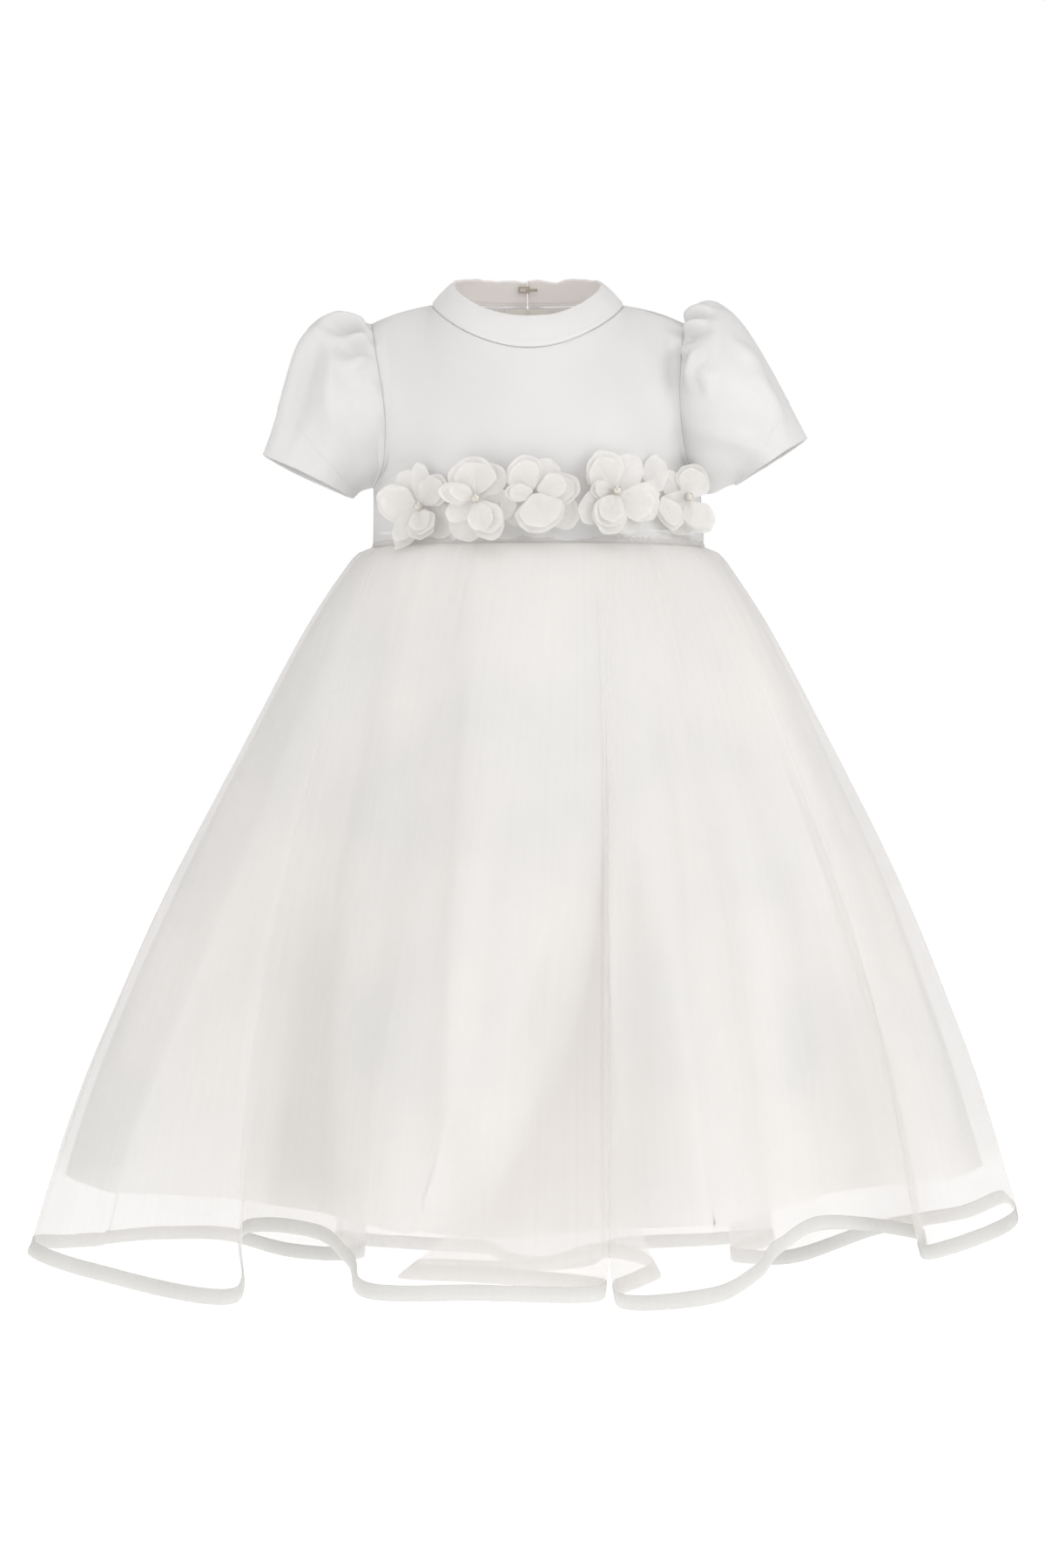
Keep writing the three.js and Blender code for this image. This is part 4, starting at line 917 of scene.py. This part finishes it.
def dress_reach():
    """Reach of the bodice front and the skirt below it from the upright axis, by height and turn."""
    grid = bodice_grid(-1, -BODICE_EDGE["side"], BODICE_EDGE["side"], 90, 84)[0]
    reach = np.zeros((len(REACH_HEIGHTS), len(REACH_TURNS)))
    for i, z in enumerate(REACH_HEIGHTS):
        if z > -WAIST["drop"] + 1:
            row = [[np.interp(z, grid[::-1, column, 2], grid[::-1, column, axis]) for axis in (0, 1)]
                   for column in range(grid.shape[1])]
            turn, far = turn_and_reach(*np.array(row).T)
        else:
            turn, far = overskirt_at(min(z, -WAIST["drop"] - 1))
        order = np.argsort(turn)
        reach[i] = np.interp(REACH_TURNS, turn[order], far[order])
    return reach


BLOSSOM_TURN = 0.8
REACH_STEPS = {"z": 3.0, "turn": 2.0}
REACH_HEIGHTS = np.arange(-175.0, -60.0, REACH_STEPS["z"])
REACH_TURNS = np.arange(-110.0, 111.0, REACH_STEPS["turn"])
DRESS_REACH = dress_reach()


def kept_outside(points, clearance):
    """Moves points that would sink into the dress out to a clearance from it."""
    aside = look_up(LEAN, points[..., 2])
    x, y = points[..., 0] - aside, points[..., 1]
    turn, far = turn_and_reach(x, y)
    row = np.clip((points[..., 2] - REACH_HEIGHTS[0]) / REACH_STEPS["z"], 0, len(REACH_HEIGHTS) - 1.001)
    column = np.clip((turn - REACH_TURNS[0]) / REACH_STEPS["turn"], 0, len(REACH_TURNS) - 1.001)
    i, j = row.astype(int), column.astype(int)
    a, b = row - i, column - j
    near = DRESS_REACH[i, j] * (1 - a) * (1 - b) + DRESS_REACH[i + 1, j] * a * (1 - b)
    near += DRESS_REACH[i, j + 1] * (1 - a) * b + DRESS_REACH[i + 1, j + 1] * a * b
    short, soft = near + clearance - far, 1.2
    moved = far + np.where(short > 8, short, soft * np.log1p(np.exp(np.clip(short, -20, 8) / soft)))
    scale = moved / far
    return np.stack([x * scale + aside, y * scale, points[..., 2]], axis=-1)


def petal_grid(directions, root, petal, random):
    """Round heat-cut petal: a shallow cup from its root, its rim curled and waved by the heat."""
    angle, lift = math.radians(petal["around"]), math.radians(petal["lift"])
    sideways, upward, off = directions
    flat = sideways * math.cos(angle) + upward * math.sin(angle)
    along = flat * math.cos(lift) + off * math.sin(lift)
    across = unit(np.cross(off, flat))
    rise = unit(np.cross(across, along))
    rise = rise * np.sign(np.dot(rise, off))
    # Rings round the petal's middle, drawn in to a narrow root on one side.
    ring = np.linspace(0.02, 1, 13)[:, None]
    around = np.linspace(-math.pi, math.pi, 49)[None]
    middle, half_length, half_width = petal["length"] * 0.54, petal["length"] * 0.46, petal["width"] / 2
    outline = 1 + 0.03 * np.sin(3 * around + random.uniform(0, 6))
    outline = outline + 0.02 * np.sin(7 * around + random.uniform(0, 6))
    y = middle + half_length * ring * np.cos(around) * outline
    narrow = 1 - 0.45 * smooth_step(0.1, 1, -np.cos(around) * ring)
    x = half_width * ring * np.sin(around) * outline * narrow
    tip = smooth_step(-0.7, 0.2, np.cos(around))
    rim = smooth_step(0.72, 1, ring) * tip
    wave = ripples(x, y, random.integers(1e6), (17, 10), (PETAL_CURL["wave"], 0.4), slant=1.0)
    cup = PETAL_CURL["cup"] * x**2 / half_width + 0.05 * (y - middle) ** 2 / half_length
    vein = 0.25 * hump(x, 0.7) * (1 - ring**2)
    z = cup + wave * (0.25 + 0.75 * rim) + PETAL_CURL["rim"] * random.uniform(0.5, 1.3) * rim**1.6 - vein
    return root + along * y[..., None] + across * x[..., None] + rise * z[..., None]


def make_blossom(name, blossom, petals, seed):
    """All petals of a blossom as one piece; returns its root and the directions there."""
    random = np.random.default_rng(seed)
    here, directions = bodice_place(blossom["turn"], blossom["z"])
    off = directions[2]
    root = here + off * (blossom["stand"] + 0.8)
    points, faces, uvs = [], [], []
    for number, petal in enumerate(petals):
        for layer in range(petal["layers"]):
            size = 1 - PETAL_CURL["shrink"] * layer
            shape = {**petal, "length": petal["length"] * size, "width": petal["width"] * size,
                     "around": petal["around"] + PETAL_CURL["turn"] * layer * random.uniform(-1, 1)}
            out = PETAL_CURL["apart"] * (0.6 * number + layer)
            grid = kept_outside(petal_grid(directions, root + off * (out - 2), shape, random), 1.2 + out)
            faces.append(quads(grid.shape[0], grid.shape[1], False, start=sum(len(p) for p in points)))
            points.append(grid.reshape(-1, 3))
            uvs.append(cloth_uvs(grid).reshape(-1, 2))
    piece = new_object(f"{name}_petals", *(np.concatenate(parts) for parts in (points, faces, uvs)), PETALS)
    dress_piece(piece, name)
    return root, directions


def make_pearl(name, root, directions, aside, above):
    """Bead with a thread hole's dimple at both ends."""
    rows, columns = 17, 32
    sideways, upward, off = directions
    centre = root + off * PEARL_SIZE["off"] + sideways * aside + upward * above
    turn = np.linspace(0, 2 * math.pi, columns, endpoint=False)[None]
    hole = 0.12
    tilt = np.linspace(hole, math.pi - hole, rows)[:, None]
    dimple = PEARL_SIZE["radius"] * (1 - 0.25 * hump(np.minimum(tilt, math.pi - tilt), 0.2))
    shape = [dimple * np.sin(tilt) * np.cos(turn), dimple * np.sin(tilt) * np.sin(turn), dimple * np.cos(tilt)]
    points = np.stack([np.broadcast_to(part, (rows, columns)) for part in shape], axis=-1) + centre
    last = (rows - 1) * columns
    caps = [list(range(columns))[::-1], list(range(last, last + columns))]
    faces = [list(f) for f in quads(rows, columns, True)] + caps
    dress_piece(new_object(name, points, faces, cloth_uvs(points), PEARL))


for count, (blossom, petals) in enumerate(zip(BLOSSOMS, PETAL_SETS), 1):
    root, directions = make_blossom(f"blossom_{count}", blossom, petals, 59 + count)
    if blossom["pearl"]:
        make_pearl(f"pearl_{count}", root, directions, *blossom["pearl"])


# ---- zip and fastener
# Zip: half its width as a share of the back, its depth behind the cloth, the size and number of its teeth, how
# far they stand off the tape and how far each row lies from the middle.
ZIP = {"half_share": 0.1, "depth": 2.9, "tooth": (1.3, 0.75, 0.8), "teeth": 94, "stand": 0.7, "apart": 0.55}


def make_zip():
    """Woven tape behind the back opening, with its two meshed rows of teeth on the inner side."""
    points = bodice_grid(1, ZIP["half_share"], -ZIP["half_share"], 40, 90, bottom=0.03)[0]
    normals = grid_normals(points)
    tape = sheet_object("zip_tape_cloth", lean(points - normals * ZIP["depth"]), TAPE)
    dress_piece(tape, "zip_tape")
    middle = lean(points - normals * (ZIP["depth"] + ZIP["stand"]))[:, 20]
    rows = np.arange(len(middle))
    at = np.linspace(0.5, len(middle) - 1.5, ZIP["teeth"])
    centres, offs = (np.stack([np.interp(at, rows, line[:, axis]) for axis in range(3)], axis=-1)
                     for line in (middle, normals[:, 20]))
    offs = unit(offs)
    ups = unit(np.gradient(centres, axis=0))
    asides = unit(np.cross(ups, offs))
    ends = (-0.5, 0.5)
    corners = np.array([[a, b, c] for a in ends for b in ends for c in ends]) * ZIP["tooth"]
    points, faces = [], []
    for number, (centre, off, up, aside) in enumerate(zip(centres, offs, ups, asides)):
        middle = centre + aside * ZIP["apart"] * (-1) ** number
        points.append(middle + corners @ np.stack([aside, up, off]))
        box = [(0, 1, 3, 2), (4, 6, 7, 5), (0, 4, 5, 1), (2, 3, 7, 6), (0, 2, 6, 4), (1, 5, 7, 3)]
        faces += [[8 * number + corner for corner in face] for face in box]
    points = np.concatenate(points)
    teeth = new_object("zip_teeth", points, faces, cloth_uvs(points.reshape(-1, 8, 3)), TAPE, smooth=False)
    dress_piece(teeth)


make_zip()
for metal_piece in ("zip_slider", "zip_pull", "collar_eye", "collar_hook"):
    for metal_slot in bpy.data.objects[metal_piece].material_slots:
        metal_slot.material = METAL


# ---- studio
STUDIO = {"surround": 0.6, "backdrop": 1.0, "floor": -780, "floor_size": 20000, "aim": (0, 0, -250)}
LAMPS = named_rows("name at size power", [
    ("right", (2200, -1600, 700), 1.4, 22), ("left", (-2200, -1500, 500), 1.4, 13),
    ("front", (300, -2500, 1500), 1.6, 10), ("top", (0, -700, 2500), 1.6, 13.5),
])
CAMERA = {"sensor": 36, "lens": 109.1, "clip_end": 100, "at": (-5, -3000, -290)}


def make_studio():
    """White studio: a soft even surround, a key lamp from the right front and three weaker ones."""
    world = bpy.data.worlds.new("studio")
    bpy.context.scene.world = world
    world.use_nodes = True
    tree, white = world.node_tree, (1, 1, 1, 1)
    surround = tree.nodes["Background"]
    surround.inputs["Strength"].default_value = STUDIO["surround"]
    surround.inputs["Color"].default_value = white
    backdrop = add_node(tree, "Background", Strength=STUDIO["backdrop"], Color=white)
    seen = add_node(tree, "LightPath").outputs["Is Camera Ray"]
    choice = mixed(tree, seen, surround, backdrop)
    tree.links.new(choice.outputs[0], tree.nodes["World Output"].inputs["Surface"])
    size, floor_z = STUDIO["floor_size"], STUDIO["floor"]
    square = [(0, 0), (1, 0), (1, 1), (0, 1)]
    corners = [((2 * x - 1) * size, (2 * y - 1) * size, floor_z) for x, y in square]
    new_object("floor", corners, [(0, 1, 2, 3)], square, FLOOR, smooth=False)
    for row in LAMPS:
        data = bpy.data.lights.new(row["name"], "AREA")
        data.size = row["size"]
        data.energy = row["power"]
        lamp = bpy.data.objects.new(row["name"], data)
        bpy.context.collection.objects.link(lamp)
        lamp.location = [part * MM for part in row["at"]]
        x, y, z = np.array(STUDIO["aim"]) - np.array(row["at"])
        lamp.rotation_euler = (math.atan2(math.hypot(x, y), -z), 0, math.atan2(-x, y))


def make_camera():
    """Level camera straight in front, at the photograph's distance."""
    data = bpy.data.cameras.new("camera")
    data.sensor_width = CAMERA["sensor"]
    data.lens = CAMERA["lens"]
    data.clip_end = CAMERA["clip_end"]
    camera = bpy.data.objects.new("camera", data)
    bpy.context.collection.objects.link(camera)
    camera.location = [part * MM for part in CAMERA["at"]]
    camera.rotation_euler = (math.pi / 2, 0, 0)
    bpy.context.scene.camera = camera


make_studio()
make_camera()
bpy.context.scene.view_settings.view_transform = "Standard"
bpy.context.scene.cycles.transparent_max_bounces = 24
